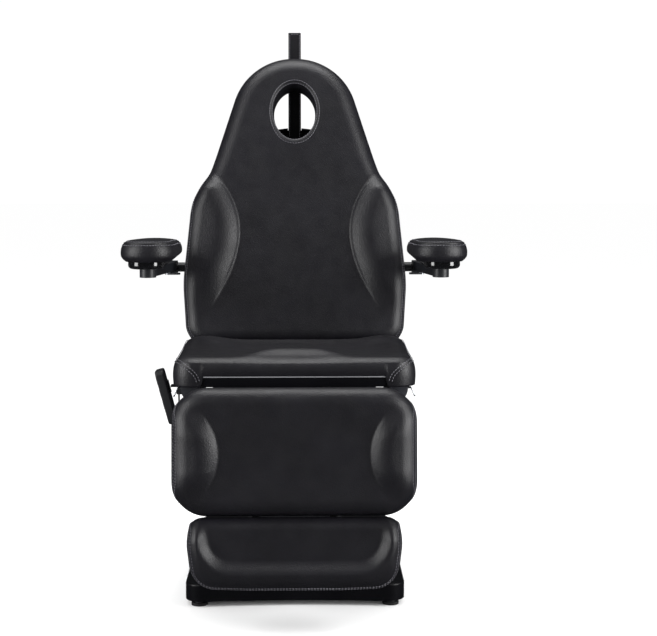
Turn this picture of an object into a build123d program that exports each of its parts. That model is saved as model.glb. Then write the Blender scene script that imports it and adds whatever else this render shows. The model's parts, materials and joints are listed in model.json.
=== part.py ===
"""Powered facial treatment bed, sitting pose: base with lifting column, seat, reclining back with a face
hole, hanging leg section with a sliding foot section, two armrests, headrest bar and a wired handset.

Millimetres. +X is the sitter's left hand, the sitter faces -Y, +Z is up. Everything is first laid out in a
working frame whose Y is counted from the seat, then moved so that the origin is the centre of the box's
bottom. Tilted sections are drawn flat, X across, Y along and Z out of the padded face, and then placed.
"""
from build123d import *
import math
import os

# ---------------------------------------------------------------- driving sizes
SEAT_TOP = 697
SEAT_WIDTH = 640
SEAT_FRONT_Y = -400
SEAT_REAR_Y = 60
SEAT_PAD = 60
BOARD = 12
FIT = 0.05                # radial running clearance of a shaft
WALL = 3                  # sheet metal and moulded covers

BASE_WIDTH = 600
BASE_FRONT_Y = -290
BASE_REAR_Y = 490
BASE_TOP = 64
BASE_BOTTOM = 16
BASE_CORNER = 45
BASE_FRONT_DISH = 16      # how far the front edge curves in at its middle
BASE_PLATE = 8
FOOT_RADIUS = 22.5
FOOT_PAD = 8
FOOT_STEM_RADIUS = 13.5
FOOT_INSET = 38           # foot centre to the cover's side and ends
INLET_HALF = 25           # mains inlet in the rear wall, half its width
INLET_Z = (26, 54)
INLET_DEPTH = 30
INLET_GAP = 0.2
SOCKET = (28, 18, 20)     # recess of the inlet: across, high and deep
SOCKET_PIN_RADIUS = 2
SOCKET_PIN_PITCH = 7
SOCKET_PIN_LENGTH = 16

COLUMN_Y = -80
COLUMN_OUTER = (260, 200)
COLUMN_OUTER_TOP = 440
COLUMN_WALL = 5
COLUMN_CORNER = 18
COLUMN_INNER_WALL = 4
COLUMN_PLAY = 2           # between the column and the hole in the cover
COLUMN_GAP = 5            # between the two tubes, filled by the glides
GLIDE_GAP = 0.1
GLIDE_HEIGHT = 56
GLIDE_WIDTHS = (140, 100)  # on the front and rear sides, and on the left and right
GLIDE_TOP_GAP = 4
COLLAR = (14, 10, 22, 4)  # how far it stands out, its height, corner and edge radius
COLLAR_GAP = 0.3
COLUMN_INNER_BOTTOM = 130
COLUMN_HEAD = 8
HEAD_HALF_DEPTH = 90
HEAD_SIDE = 15            # past the middle of each seat rail
SADDLE_Y = (-150, -110)   # straps that hang the two drives from the head plate
SADDLE_HALF = 20
SADDLE_WRAP = 8           # from the middle of the strap's bore up to its open edge
SEAT_FIT = 0.02           # between faces that sit tight
RAIL_HEIGHT = 40
RAIL_WIDTH = 25
RAIL_X = 200
LIFT_TUBE_RADIUS = 25
LIFT_ROD_RADIUS = 15
LIFT_MOTOR_RADIUS = 30
LIFT_MOTOR_X = 62
LIFT_MOTOR_TOP = 210
LIFT_GEARBOX_X = (-35, 95)
LIFT_GEARBOX_HALF = 35
LIFT_ROD_BOTTOM = 150
CONTROL_BOX_HALF = (78, 75)
CONTROL_BOX_GAP = 2       # under the seat board

HINGE_RADIUS = 8
LUG_THICK = 8
LUG_RADIUS = 12
TORQUE_TUBE_RADIUS = 12

BACK_ANGLE = 75           # of the back above flat, at rest
BACK_RANGE = 75
BACK_HINGE = (99, 655)    # Y and Z
BACK_WIDTH = 654
BACK_LENGTH = 872
BACK_BOTTOM = 14          # from the hinge along the back
BACK_FACE = 40            # hinge to the padded face
BACK_PAD = 75
HOLE_WIDTH = 128
HOLE_LENGTH = 168
HOLE_CENTRE = 712         # from the hinge along the back
FRAME_X = 100             # rails of the back and of the leg section
BACK_RAIL = (30, 20)
BACK_RAIL_TOP = 655
SHELL_WIDTH = 340
SHELL_BOTTOM = 60
SHELL_TOP = 684
SHELL_SIDE_TOP = 630
SHELL_DEPTH = 43
BAR = (38, 16)            # headrest bar in its stitched leather
BAR_TOP = 986
BAR_BOTTOM = 540
BAR_SLEEVE_AT = 600
BAR_SLEEVE_LENGTH = 80
BAR_GAP = 0.3
BAR_SLEEVE_WALL = 4
KNOB_RADIUS = 18
KNOB_STUD_RADIUS = 4

LEG_ANGLE = 82            # of the leg section below level, at rest
LEG_RANGE = 82
LEG_HINGE = (-416, 607)
LEG_BOARD_UNDER = 14      # hinge to the underside of the leg section's board
LEG_PAD = 62
LEG_WIDTH = 630
LEG_LENGTH = 316
LEG_START = 10            # how far the pad reaches back past the hinge
LEG_CORNER = 90
LEG_RAIL = (24, 30)
LEG_RAIL_WALL = 2.5
LEG_RAIL_LENGTH = 296
FOOT_WIDTH = 550
FOOT_LENGTH = 183
FOOT_GAP = 4
FOOT_RAIL_INSIDE = 200
SLIDE_GAP = 0.3

ACTUATOR_X = 158
ACTUATOR_RADIUS = 20
ROD_RADIUS = 10
PIN_RADIUS = 6
BACK_LEVER = 115
LEG_LEVER = 70
BACK_ROD_END = -40        # Y of the rods' inner ends and of their drives' two joints
BACK_DRIVE_Y = (-190, -290)
LEG_ROD_END = -170
LEG_DRIVE_Y = (-165, -65)
GEARBOX_HALF = 21
GEARBOX_DROP = 24
DRIVE_MOUTH_GAPS = (4, 6)  # back and leg, between the rod's head and its tube at the near limit
LEVER_PLATE = 5
CROSSHEAD = (14, 30)      # across and along the rod
CROSSHEAD_WALL = 5
LEVER_SIDE_GAP = 1

ARM_TUBE_AT = 259         # from the back's hinge along the back
ARM_TUBE_BOARD_GAP = 1    # from the tube to the back board
ARM_TUBE_RADIUS = 14
ARM_TUBE_END = 376
ARM_HUB = (351, 376)
ARM_HUB_RADIUS = 20
ARM_HALF = 12
ARM_STRAIGHT = 60         # from the hub forward, before the arm turns out to the pad's swivel
ARM_PIN_RADIUS = 8
ARM_PIN = 14
ARM_BAR_DROP = 8          # top of the arm below the top of its boss
ARM_HEIGHT = 26
ARM_PIVOT = (411, -60)    # X and Y of the pad's swivel
ARM_BOSS_RADIUS = 23
ARM_BOSS_TOP = 917
ARM_PAN_HEIGHT = 21
ARM_PAN = (98, 270)
ARM_PAD_X = 395
ARM_PAD_Y = -90
ARM_PAD = (167, 360, 62)
ARM_PLAY = 0.3
LOCK_BACK = 75            # from the tube forward to the lock lever's stud
LOCK_OUT = 8
LOCK_REACH = (34, 10)     # paddle inward and outward of the stud
LOCK_HALF = 11
LOCK_DROP = (10, 5)       # paddle's two faces below the arm
LOCK_STUD_RADIUS = 6

HANDSET_TILT = 14.9
HANDSET_OUT = 25.5        # its middle, past the side of the seat
HANDSET_Y = -250
HANDSET_DROP = 47         # its middle, below the seat board
HANDSET = (23, 60, 150)
KEY = (5, 40, 22)
KEY_PITCH = 34
KEY_GAP = 0.4
KEY_ROW = 14              # the middle key above the handset's middle
KEY_SUNK = 1
HOOK_HALF = 12
HOOK_DROP = (21, 16)      # faces of the hook's arm, below the seat board
HOOK_PLATE = (4, 24, 34)
RELIEF = (3.2, 6, 12)     # radii at its two ends, and length
GLAND = (13, 7, 14)       # how far it stands out, half its depth, and height
SKIRT_SINK = 10           # a moulding's root, cut to the skirt's curve
SKIRT_WIDTH = 50
SKIRT_INSET = 20          # inside the edge of the seat
SKIRT_DEPTH = 53
SKIRT_CORNER = 42
SKIRT_FRONT_Y = -345
SKIRT_REAR_Y = 40
HOOK_WIRE = 2
WIRE_DROPS = (11, 33)     # top and bottom of the wire hooks, below the seat board
WIRE_REACHES = (9, 18)
WIRE_Y = (14, 2)          # behind the front of the skirt
WIRE_BEND = 5
CABLE_RADIUS = 2.5
ROUTE_SKIRT_X = 300       # the skirt's side at which the cable's route was chosen
NOTCH_HALF = 239
NOTCH_DEPTH = 12
NOTCH_TOP = 654
APRON_GAP = 0.5
APRON_SET_BACK = 4
TRIM = 3
TRIM_SET_BACK = 2
BOARD_INSET = 6           # seat board inside the seat cushion
BACKING_INSET = 8         # boards of the back, leg and foot sections inside their cushions

# ---------------------------------------------------------------- worked out from them
SEAT_PAD_BOTTOM = SEAT_TOP - SEAT_PAD
BOARD_BOTTOM = SEAT_PAD_BOTTOM - BOARD
RAIL_BOTTOM = BOARD_BOTTOM - RAIL_HEIGHT
HEAD_BOTTOM = RAIL_BOTTOM - COLUMN_HEAD
PLATE_TOP = BASE_BOTTOM + BASE_PLATE
INNER = tuple(side - 2 * COLUMN_WALL - 2 * COLUMN_GAP for side in COLUMN_OUTER)
LUG_X = RAIL_X - RAIL_WIDTH / 2 - LUG_THICK / 2
SKIRT_X = SEAT_WIDTH / 2 - SKIRT_INSET
HANDSET_CENTRE = (-SEAT_WIDTH / 2 - HANDSET_OUT, HANDSET_Y, BOARD_BOTTOM - HANDSET_DROP)
LEG_FACE = LEG_BOARD_UNDER + BOARD + LEG_PAD
ARM_TUBE_DEPTH = BACK_PAD - BACK_FACE + BOARD + ARM_TUBE_BOARD_GAP + ARM_TUBE_RADIUS
back_place = Pos(0, *BACK_HINGE) * Rot(BACK_ANGLE, 0, 0)
leg_place = Pos(0, *LEG_HINGE) * Rot(LEG_ANGLE, 0, 0)

made = {}


def keep(name, *shapes):
    """Files a piece, or a group of like pieces, under the name a person would use."""
    solids = []
    for shape in shapes:
        solids += shape.solids()
    made[name] = solids


def block(x, y, z):
    """A box between two limits on each axis."""
    size = [high - low for low, high in (x, y, z)]
    centre = [(high + low) / 2 for low, high in (x, y, z)]
    return Pos(*centre) * Box(*size)


def rod_x(radius, x, y, z):
    """A round bar along X."""
    return Pos((x[0] + x[1]) / 2, y, z) * Rot(0, 90, 0) * Cylinder(radius, x[1] - x[0])


def rod_y(radius, x, y, z):
    """A round bar along Y."""
    return Pos(x, (y[0] + y[1]) / 2, z) * Rot(90, 0, 0) * Cylinder(radius, y[1] - y[0])


def rod_z(radius, x, y, z):
    """A round bar along Z."""
    return Pos(x, y, (z[0] + z[1]) / 2) * Cylinder(radius, z[1] - z[0])


def both_sides(shape):
    """A piece and its mirror image across the bed."""
    return [shape, shape.mirror(Plane.YZ)]


def slab(outline, z, crown, heel):
    """An outline given a thickness, with its face edge rounded by crown and its back edge by heel."""
    body = Pos(0, 0, z[0]) * extrude(outline, z[1] - z[0])
    body = fillet(body.edges().group_by(Axis.Z)[-1], crown)
    return fillet(body.edges().group_by(Axis.Z)[0], heel)


def rounded_outline(corners, half_width, length, start):
    """A closed mirrored outline: corners as shares of the half width and of the length, each with its radius."""
    side = [(x * half_width, start + y * length) for x, y, radius in corners]
    radii = [radius for x, y, radius in corners]
    points = side + [(-x, y) for x, y in reversed(side)]
    return make_face(FilletPolyline(*points, radius=radii + radii[::-1], close=True))


# ---------------------------------------------------------------- base
def base_outline(inset):
    """Plan of the base: a rectangle with rounded corners whose front edge is dished."""
    half = BASE_WIDTH / 2 - inset
    front = BASE_FRONT_Y + inset
    rear = BASE_REAR_Y - inset
    edges = [ThreePointArc((-half, front), (0, front + BASE_FRONT_DISH), (half, front)),
             Line((half, front), (half, rear)),
             Line((half, rear), (-half, rear)),
             Line((-half, rear), (-half, front))]
    face = make_face(Wire(edges))
    return fillet(face.vertices(), BASE_CORNER - inset)


def make_base():
    cover = Pos(0, 0, BASE_BOTTOM) * extrude(base_outline(0), BASE_TOP - BASE_BOTTOM)
    cover = fillet(cover.edges().group_by(Axis.Z)[-1], 6)
    cover -= Pos(0, 0, BASE_BOTTOM) * extrude(base_outline(WALL), BASE_TOP - BASE_BOTTOM - WALL)
    half_x = COLUMN_OUTER[0] / 2
    half_y = COLUMN_OUTER[1] / 2
    cover -= block((-half_x - COLUMN_PLAY, half_x + COLUMN_PLAY),
                   (COLUMN_Y - half_y - COLUMN_PLAY, COLUMN_Y + half_y + COLUMN_PLAY), (0, BASE_TOP + 1))
    cover -= block((-INLET_HALF, INLET_HALF), (BASE_REAR_Y - 2 * WALL, BASE_REAR_Y + 1), INLET_Z)
    keep("base_cover", cover)

    plate_gap = 1
    keep("base_plate", Pos(0, 0, BASE_BOTTOM) * extrude(base_outline(WALL + plate_gap), BASE_PLATE))

    pads = []
    stems = []
    for x in (-BASE_WIDTH / 2 + FOOT_INSET, BASE_WIDTH / 2 - FOOT_INSET):
        for y in (BASE_FRONT_Y + FOOT_INSET, BASE_REAR_Y - FOOT_INSET):
            pad = rod_z(FOOT_RADIUS, x, y, (0, FOOT_PAD))
            pads.append(fillet(pad.edges().group_by(Axis.Z)[-1], 2))
            stems.append(rod_z(FOOT_STEM_RADIUS, x, y, (FOOT_PAD, BASE_BOTTOM)))
    keep("foot_pads", *pads)
    keep("foot_stems", *stems)

    make_inlet()


def make_inlet():
    """Mains inlet in the rear wall: a moulding with a socket and three pins."""
    half = INLET_HALF - INLET_GAP
    low, high = INLET_Z
    middle = (low + high) / 2
    across, tall, deep = SOCKET
    inlet = block((-half, half), (BASE_REAR_Y - INLET_DEPTH, BASE_REAR_Y), (low + INLET_GAP, high - INLET_GAP))
    inlet -= block((-across / 2, across / 2), (BASE_REAR_Y - deep, BASE_REAR_Y + 1),
                   (middle - tall / 2, middle + tall / 2))
    for side in (-1, 0, 1):
        pin_y = (BASE_REAR_Y - deep, BASE_REAR_Y - deep + SOCKET_PIN_LENGTH)
        inlet += rod_y(SOCKET_PIN_RADIUS, side * SOCKET_PIN_PITCH, pin_y, middle)
    keep("mains_inlet", inlet)


def column_tube(size, wall, z):
    """A square tube of the lifting column, standing on the column's axis."""
    tube = extrude(RectangleRounded(*size, COLUMN_CORNER), z[1] - z[0])
    bore = RectangleRounded(size[0] - 2 * wall, size[1] - 2 * wall, COLUMN_CORNER - wall)
    tube -= extrude(bore, z[1] - z[0])
    return Pos(0, COLUMN_Y, z[0]) * tube


def make_column():
    keep("column_outer", column_tube(COLUMN_OUTER, COLUMN_WALL, (PLATE_TOP, COLUMN_OUTER_TOP)))
    out, height, corner, edge = COLLAR
    collar = extrude(RectangleRounded(*[side + 2 * out for side in COLUMN_OUTER], corner), height)
    collar = fillet(collar.edges().group_by(Axis.Z)[-1], edge)
    bore = RectangleRounded(*[side + 2 * COLLAR_GAP for side in COLUMN_OUTER], COLUMN_CORNER + COLLAR_GAP)
    collar -= extrude(bore, height)
    keep("column_collar", Pos(0, COLUMN_Y, BASE_TOP) * collar)

    glide_top = COLUMN_OUTER_TOP - GLIDE_TOP_GAP
    glide_z = (glide_top - GLIDE_HEIGHT, glide_top)
    thick = COLUMN_GAP - GLIDE_GAP
    half_x = INNER[0] / 2 + GLIDE_GAP
    half_y = INNER[1] / 2 + GLIDE_GAP
    wide_half, side_half = [width / 2 for width in GLIDE_WIDTHS]
    side_y = (COLUMN_Y - side_half, COLUMN_Y + side_half)
    glides = both_sides(block((half_x, half_x + thick), side_y, glide_z))
    for side in (-1, 1):
        y = sorted((COLUMN_Y + side * half_y, COLUMN_Y + side * (half_y + thick)))
        glides.append(block((-wide_half, wide_half), y, glide_z))
    keep("column_glides", *glides)

    keep("column_inner", column_tube(INNER, COLUMN_INNER_WALL, (COLUMN_INNER_BOTTOM, HEAD_BOTTOM)))

    gearbox_y = (COLUMN_Y - LIFT_GEARBOX_HALF, COLUMN_Y + LIFT_GEARBOX_HALF)
    motor = block(LIFT_GEARBOX_X, gearbox_y, (PLATE_TOP, BASE_TOP))
    motor += rod_z(LIFT_TUBE_RADIUS, 0, COLUMN_Y, (BASE_TOP, COLUMN_OUTER_TOP - 10))
    motor += rod_z(LIFT_MOTOR_RADIUS, LIFT_MOTOR_X, COLUMN_Y, (BASE_TOP, LIFT_MOTOR_TOP))
    motor -= rod_z(LIFT_ROD_RADIUS + FIT, 0, COLUMN_Y, (BASE_TOP + 2, COLUMN_OUTER_TOP))
    keep("lift_motor", motor)
    keep("lift_rod", rod_z(LIFT_ROD_RADIUS, 0, COLUMN_Y, (LIFT_ROD_BOTTOM, HEAD_BOTTOM)))


# ---------------------------------------------------------------- seat frame
def lug(hinge, web):
    """A hinge ear on the inner face of a seat rail: a round eye with a web that runs on to the rail."""
    y, z = hinge
    x = (LUG_X - LUG_THICK / 2, LUG_X + LUG_THICK / 2)
    ear = rod_x(LUG_RADIUS, x, y, z) + block(x, *web)
    return ear - rod_x(HINGE_RADIUS + SEAT_FIT, x, y, z)


def make_seat_frame():
    head_x = RAIL_X + HEAD_SIDE
    head = block((-head_x, head_x), (COLUMN_Y - HEAD_HALF_DEPTH, COLUMN_Y + HEAD_HALF_DEPTH),
                 (HEAD_BOTTOM, RAIL_BOTTOM))
    saddles = []
    for side, low in ((-1, back_rod_z + SADDLE_WRAP), (1, leg_rod_z + ACTUATOR_RADIUS)):
        x = side * ACTUATOR_X
        saddle = block((x - SADDLE_HALF, x + SADDLE_HALF), SADDLE_Y, (low, HEAD_BOTTOM))
        bore_y = (SADDLE_Y[0] - 10, SADDLE_Y[1] + 10)
        saddles.append(saddle - rod_y(ACTUATOR_RADIUS + SEAT_FIT, x, bore_y, low - SADDLE_WRAP))
    keep("column_head", head, *saddles)

    rail = block((RAIL_X - RAIL_WIDTH / 2, RAIL_X + RAIL_WIDTH / 2), (SEAT_FRONT_Y, SEAT_REAR_Y + 35),
                 (RAIL_BOTTOM, BOARD_BOTTOM))
    bore = block((RAIL_X - RAIL_WIDTH / 2 + WALL, RAIL_X + RAIL_WIDTH / 2 - WALL),
                 (SEAT_FRONT_Y - 1, SEAT_REAR_Y + 36), (RAIL_BOTTOM + WALL, BOARD_BOTTOM - WALL))
    keep("seat_rails", *both_sides(rail - bore))

    front_y, front_z = LEG_HINGE
    front = lug(LEG_HINGE, ((front_y, SEAT_FRONT_Y + 30), (front_z - LUG_RADIUS, front_z + LUG_RADIUS)))
    rear_y, rear_z = BACK_HINGE
    rear = lug(BACK_HINGE, ((rear_y - LUG_RADIUS, rear_y + LUG_RADIUS), (RAIL_BOTTOM + 5, rear_z)))
    keep("hinge_lugs", *both_sides(front), *both_sides(rear))
    reach = LUG_X + LUG_THICK / 2
    keep("hinge_shafts", rod_x(HINGE_RADIUS, (-reach, reach), *LEG_HINGE),
         rod_x(HINGE_RADIUS, (-reach, reach), *BACK_HINGE))

    half_x, half_y = CONTROL_BOX_HALF
    box = block((-half_x, half_x), (COLUMN_Y - half_y, COLUMN_Y + half_y),
                (RAIL_BOTTOM, BOARD_BOTTOM - CONTROL_BOX_GAP))
    keep("control_box", fillet(box.edges().filter_by(Axis.Z), 6))


def make_skirts():
    """Side covers under the seat board: a wall that turns in under the frame with a large radius."""
    bottom = BOARD_BOTTOM - SKIRT_DEPTH

    def profile(inset):
        outer = SKIRT_X - inset
        low = bottom + inset
        radius = SKIRT_CORNER - inset
        bend = CenterArc((outer - radius, low + radius), radius, -90, 90)
        edges = [Line((SKIRT_X - SKIRT_WIDTH, low), (outer - radius, low)), bend,
                 Line((outer, low + radius), (outer, BOARD_BOTTOM)),
                 Line((outer, BOARD_BOTTOM), (SKIRT_X - SKIRT_WIDTH, BOARD_BOTTOM)),
                 Line((SKIRT_X - SKIRT_WIDTH, BOARD_BOTTOM), (SKIRT_X - SKIRT_WIDTH, low))]
        return make_face(Wire(edges))

    length = SKIRT_REAR_Y - SKIRT_FRONT_Y
    plane = Pos(0, SKIRT_REAR_Y, 0) * Rot(90, 0, 0)
    solid = plane * extrude(profile(0), length)
    hollow = plane * (Pos(0, 0, WALL) * extrude(profile(WALL), length - 2 * WALL))
    keep("seat_skirts", *both_sides(solid - hollow))
    return solid


# ---------------------------------------------------------------- seat upholstery
def make_seat():
    middle = (SEAT_FRONT_Y + SEAT_REAR_Y) / 2
    depth = SEAT_REAR_Y - SEAT_FRONT_Y
    pad = Pos(0, middle, 0) * slab(RectangleRounded(SEAT_WIDTH, depth, 55), (SEAT_PAD_BOTTOM, SEAT_TOP), 20, 4)
    notch = block((-NOTCH_HALF, NOTCH_HALF), (SEAT_FRONT_Y - 1, SEAT_FRONT_Y + NOTCH_DEPTH),
                  (SEAT_PAD_BOTTOM - 1, NOTCH_TOP))
    keep("seat_cushion", pad - notch)

    board = RectangleRounded(SEAT_WIDTH - 2 * BOARD_INSET, depth - 2 * BOARD_INSET, 50)
    board = Pos(0, middle, BOARD_BOTTOM) * extrude(board, BOARD)
    board -= block((-NOTCH_HALF, NOTCH_HALF), (SEAT_FRONT_Y - 1, SEAT_FRONT_Y + NOTCH_DEPTH),
                   (BOARD_BOTTOM - 1, SEAT_PAD_BOTTOM + 1))
    keep("seat_board", board)

    side = NOTCH_HALF - APRON_GAP
    rear = SEAT_FRONT_Y + NOTCH_DEPTH
    trim_z = (NOTCH_TOP - APRON_GAP - TRIM, NOTCH_TOP - APRON_GAP)
    keep("front_apron", block((-side, side), (SEAT_FRONT_Y + APRON_SET_BACK, rear), (BOARD_BOTTOM, trim_z[0])))
    keep("apron_trim", block((-side, side), (SEAT_FRONT_Y + TRIM_SET_BACK, rear), trim_z))


# ---------------------------------------------------------------- back
BACK_SHAPE = [(0.972, 0, 62), (1.009, 0.213, 400), (0.942, 0.477, 160), (0.771, 0.597, 110), (0.431, 1, 185)]


def make_back():
    keep("back_cushion", back_place * back_pad())
    board = rounded_outline(BACK_SHAPE, BACK_WIDTH / 2 - BACKING_INSET, BACK_LENGTH - 2 * BACKING_INSET,
                            BACK_BOTTOM + BACKING_INSET)
    board_z = (BACK_FACE - BACK_PAD - BOARD, BACK_FACE - BACK_PAD)
    board = Pos(0, 0, board_z[0]) * extrude(board, BOARD)
    board -= Pos(0, HOLE_CENTRE, board_z[0]) * extrude(Ellipse(HOLE_WIDTH / 2 + 4, HOLE_LENGTH / 2 + 4), BOARD)
    keep("back_board", back_place * board)

    behind = board_z[0]
    width, deep = BACK_RAIL
    x = (FRAME_X - width / 2, FRAME_X + width / 2)
    bottom = -LUG_RADIUS
    rail = block(x, (bottom, BACK_RAIL_TOP), (behind - deep, behind))
    rail -= block((x[0] + WALL, x[1] - WALL), (bottom - 1, BACK_RAIL_TOP + 1),
                  (behind - deep + WALL, behind - WALL))
    web = block((FRAME_X - 5, FRAME_X + 5), (bottom, 8), (behind, 0))
    web -= rod_x(TORQUE_TUBE_RADIUS + SEAT_FIT, (0, 2 * FRAME_X), 0, 0)
    keep("back_rails", *[back_place * part for part in both_sides(rail)],
         *[back_place * part for part in both_sides(web)])

    tube = rod_x(TORQUE_TUBE_RADIUS, (-ACTUATOR_X - 15, FRAME_X + 15), 0, 0)
    tube -= rod_x(HINGE_RADIUS + FIT, (-ACTUATOR_X - 16, FRAME_X + 16), 0, 0)
    keep("back_tube", back_place * tube)
    keep("back_lever", *lever(BACK_HINGE, BACK_LEVER, BACK_RANGE / 2, -ACTUATOR_X))
    make_headrest_bar(behind, deep)
    make_shell(behind)
    make_arm_tubes()


def back_pad():
    outline = rounded_outline(BACK_SHAPE, BACK_WIDTH / 2, BACK_LENGTH, BACK_BOTTOM)
    pad = slab(outline, (BACK_FACE - BACK_PAD, BACK_FACE), 22, 5)
    hole = extrude(Ellipse(HOLE_WIDTH / 2, HOLE_LENGTH / 2), BACK_PAD + 2)
    return pad - Pos(0, HOLE_CENTRE, BACK_FACE - BACK_PAD - 1) * hole


def make_headrest_bar(behind, deep):
    """Crossbar between the rails with a square sleeve, the bar that slides in it and its clamp knob."""
    inner_x = FRAME_X - BACK_RAIL[0] / 2
    front = behind - BAR_SLEEVE_WALL
    sleeve_y = (BAR_SLEEVE_AT - BAR_SLEEVE_LENGTH / 2, BAR_SLEEVE_AT + BAR_SLEEVE_LENGTH / 2)
    half = BAR[0] / 2 + BAR_GAP
    bore_z = (front - BAR[1] - 2 * BAR_GAP, front)
    sleeve = block((-half - BAR_SLEEVE_WALL, half + BAR_SLEEVE_WALL), sleeve_y,
                   (bore_z[0] - BAR_SLEEVE_WALL, behind))
    sleeve += block((-inner_x, inner_x), (BAR_SLEEVE_AT - 20, BAR_SLEEVE_AT + 20), (front, behind))
    sleeve -= block((-half, half), (sleeve_y[0] - 1, sleeve_y[1] + 1), bore_z)
    sleeve -= Pos(0, BAR_SLEEVE_AT, bore_z[0] - 3) * Cylinder(KNOB_STUD_RADIUS + 2 * FIT, 10)
    keep("bar_sleeve", back_place * sleeve)

    bar = block((-BAR[0] / 2, BAR[0] / 2), (BAR_BOTTOM, BAR_TOP), (bore_z[0] + BAR_GAP, bore_z[1] - BAR_GAP))
    bar = fillet(bar.edges().filter_by(Axis.Y), 3)
    keep("headrest_bar", back_place * bar)

    shell_back = behind - SHELL_DEPTH
    knob = Pos(0, BAR_SLEEVE_AT, shell_back - 12) * Cylinder(KNOB_RADIUS, 20)
    knob = fillet(knob.edges(), 3)
    stud = (shell_back - 12, bore_z[0] - BAR_GAP)
    knob += Pos(0, BAR_SLEEVE_AT, (stud[0] + stud[1]) / 2) * Cylinder(KNOB_STUD_RADIUS, stud[1] - stud[0])
    keep("clamp_knob", back_place * knob)


def make_shell(behind):
    """Moulded cover over the back frame, with an arched top that the headrest bar passes through."""
    half = SHELL_WIDTH / 2

    def outline(inset):
        side = half - inset
        edges = [Line((-side, SHELL_BOTTOM + inset), (side, SHELL_BOTTOM + inset)),
                 Line((side, SHELL_BOTTOM + inset), (side, SHELL_SIDE_TOP - inset)),
                 ThreePointArc((side, SHELL_SIDE_TOP - inset), (0, SHELL_TOP - inset),
                               (-side, SHELL_SIDE_TOP - inset)),
                 Line((-side, SHELL_SIDE_TOP - inset), (-side, SHELL_BOTTOM + inset))]
        return make_face(Wire(edges))

    shell = Pos(0, 0, behind - SHELL_DEPTH) * extrude(outline(0), SHELL_DEPTH)
    shell = fillet(shell.edges().group_by(Axis.Z)[0], 10)
    shell -= Pos(0, 0, behind - SHELL_DEPTH + WALL) * extrude(outline(WALL), SHELL_DEPTH)
    slot_x = BAR[0] / 2 + 1.5
    slot_z = (behind - BAR_SLEEVE_WALL - BAR[1] - 3, behind)
    shell -= block((-slot_x, slot_x), (SHELL_SIDE_TOP, SHELL_TOP + 5), slot_z)
    for side in (-1, 1):
        rail_x = (side * FRAME_X - BACK_RAIL[0] / 2 - 1, side * FRAME_X + BACK_RAIL[0] / 2 + 1)
        shell -= block(rail_x, (SHELL_BOTTOM - 1, SHELL_BOTTOM + WALL + 1), (behind - BACK_RAIL[1] - 1, behind))
    shell -= rod_x(ARM_TUBE_RADIUS + 0.3, (-half - 5, half + 5), ARM_TUBE_AT, -ARM_TUBE_DEPTH)
    shell -= Pos(0, BAR_SLEEVE_AT, behind - SHELL_DEPTH) * Cylinder(KNOB_STUD_RADIUS + 1, 20)
    keep("back_shell", back_place * shell)


def make_arm_tubes():
    start = FRAME_X + BACK_RAIL[0] / 2
    tube = rod_x(ARM_TUBE_RADIUS, (start, ARM_TUBE_END), ARM_TUBE_AT, -ARM_TUBE_DEPTH)
    keep("armrest_tubes", *[back_place * part for part in both_sides(tube)])


# ---------------------------------------------------------------- linear drives of back and leg section
def swing_error(length, half_angle):
    """Largest gap between a lever pin's run along the rod and a constant ratio that meets it at both ends."""
    half = math.radians(half_angle)
    share = math.sin(half) / half
    worst = math.acos(share)
    return length * (math.sin(worst) - share * worst)


def pin_run(length, half_angle):
    """Lowest and highest drop of a lever pin below its hinge over the whole swing."""
    return length * math.cos(math.radians(half_angle)), length


def lever(hinge, length, lag, x):
    """Two lever plates and their pin; at rest the lever leans lag degrees back from straight down."""
    y, z = hinge
    place = Pos(0, y, z) * Rot(lag, 0, 0)
    gap = CROSSHEAD[0] / 2 + LEVER_SIDE_GAP
    parts = []
    for side in (-1, 1):
        low = x + side * (gap + LEVER_PLATE / 2) - LEVER_PLATE / 2
        span = (low, low + LEVER_PLATE)
        plate = block(span, (-9, 9), (-length, 0)) + rod_x(PIN_RADIUS + 3, span, 0, -length)
        plate += rod_x(TORQUE_TUBE_RADIUS + 1.5, span, 0, 0)
        plate -= rod_x(TORQUE_TUBE_RADIUS + SEAT_FIT, span, 0, 0)
        parts.append(plate)
    reach = gap + LEVER_PLATE
    pin = rod_x(PIN_RADIUS, (x - reach, x + reach), 0, -length)
    return [place * (parts[0] + parts[1] + pin)]


def rod_height(hinge, length, half_angle):
    low, high = pin_run(length, half_angle)
    return hinge[1] - (low + high) / 2


def crosshead_rod(hinge, length, half_angle, x, rod_end):
    """A drive rod with a slotted head; the lever's pin rides up and down in the slot."""
    low, high = pin_run(length, half_angle)
    half = math.radians(half_angle)
    y = hinge[0] + length * math.sin(half)
    z = hinge[1] - (low + high) / 2
    slot = PIN_RADIUS + swing_error(length, half_angle) + 0.5
    rise = (high - low) / 2 + PIN_RADIUS + 0.5
    head = block((x - CROSSHEAD[0] / 2, x + CROSSHEAD[0] / 2), (y - CROSSHEAD[1] / 2, y + CROSSHEAD[1] / 2),
                 (z - rise - CROSSHEAD_WALL, z + rise + CROSSHEAD_WALL))
    head -= block((x - CROSSHEAD[0], x + CROSSHEAD[0]), (y - slot, y + slot), (z - rise, z + rise))
    near = y + math.copysign(CROSSHEAD[1] / 2, rod_end - y)
    rod = rod_y(ROD_RADIUS, x, sorted((near, rod_end)), z)
    rod &= block((x - CROSSHEAD[1], x + CROSSHEAD[1]), sorted((near, rod_end)), (0, 1000))
    return head + rod


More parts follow.
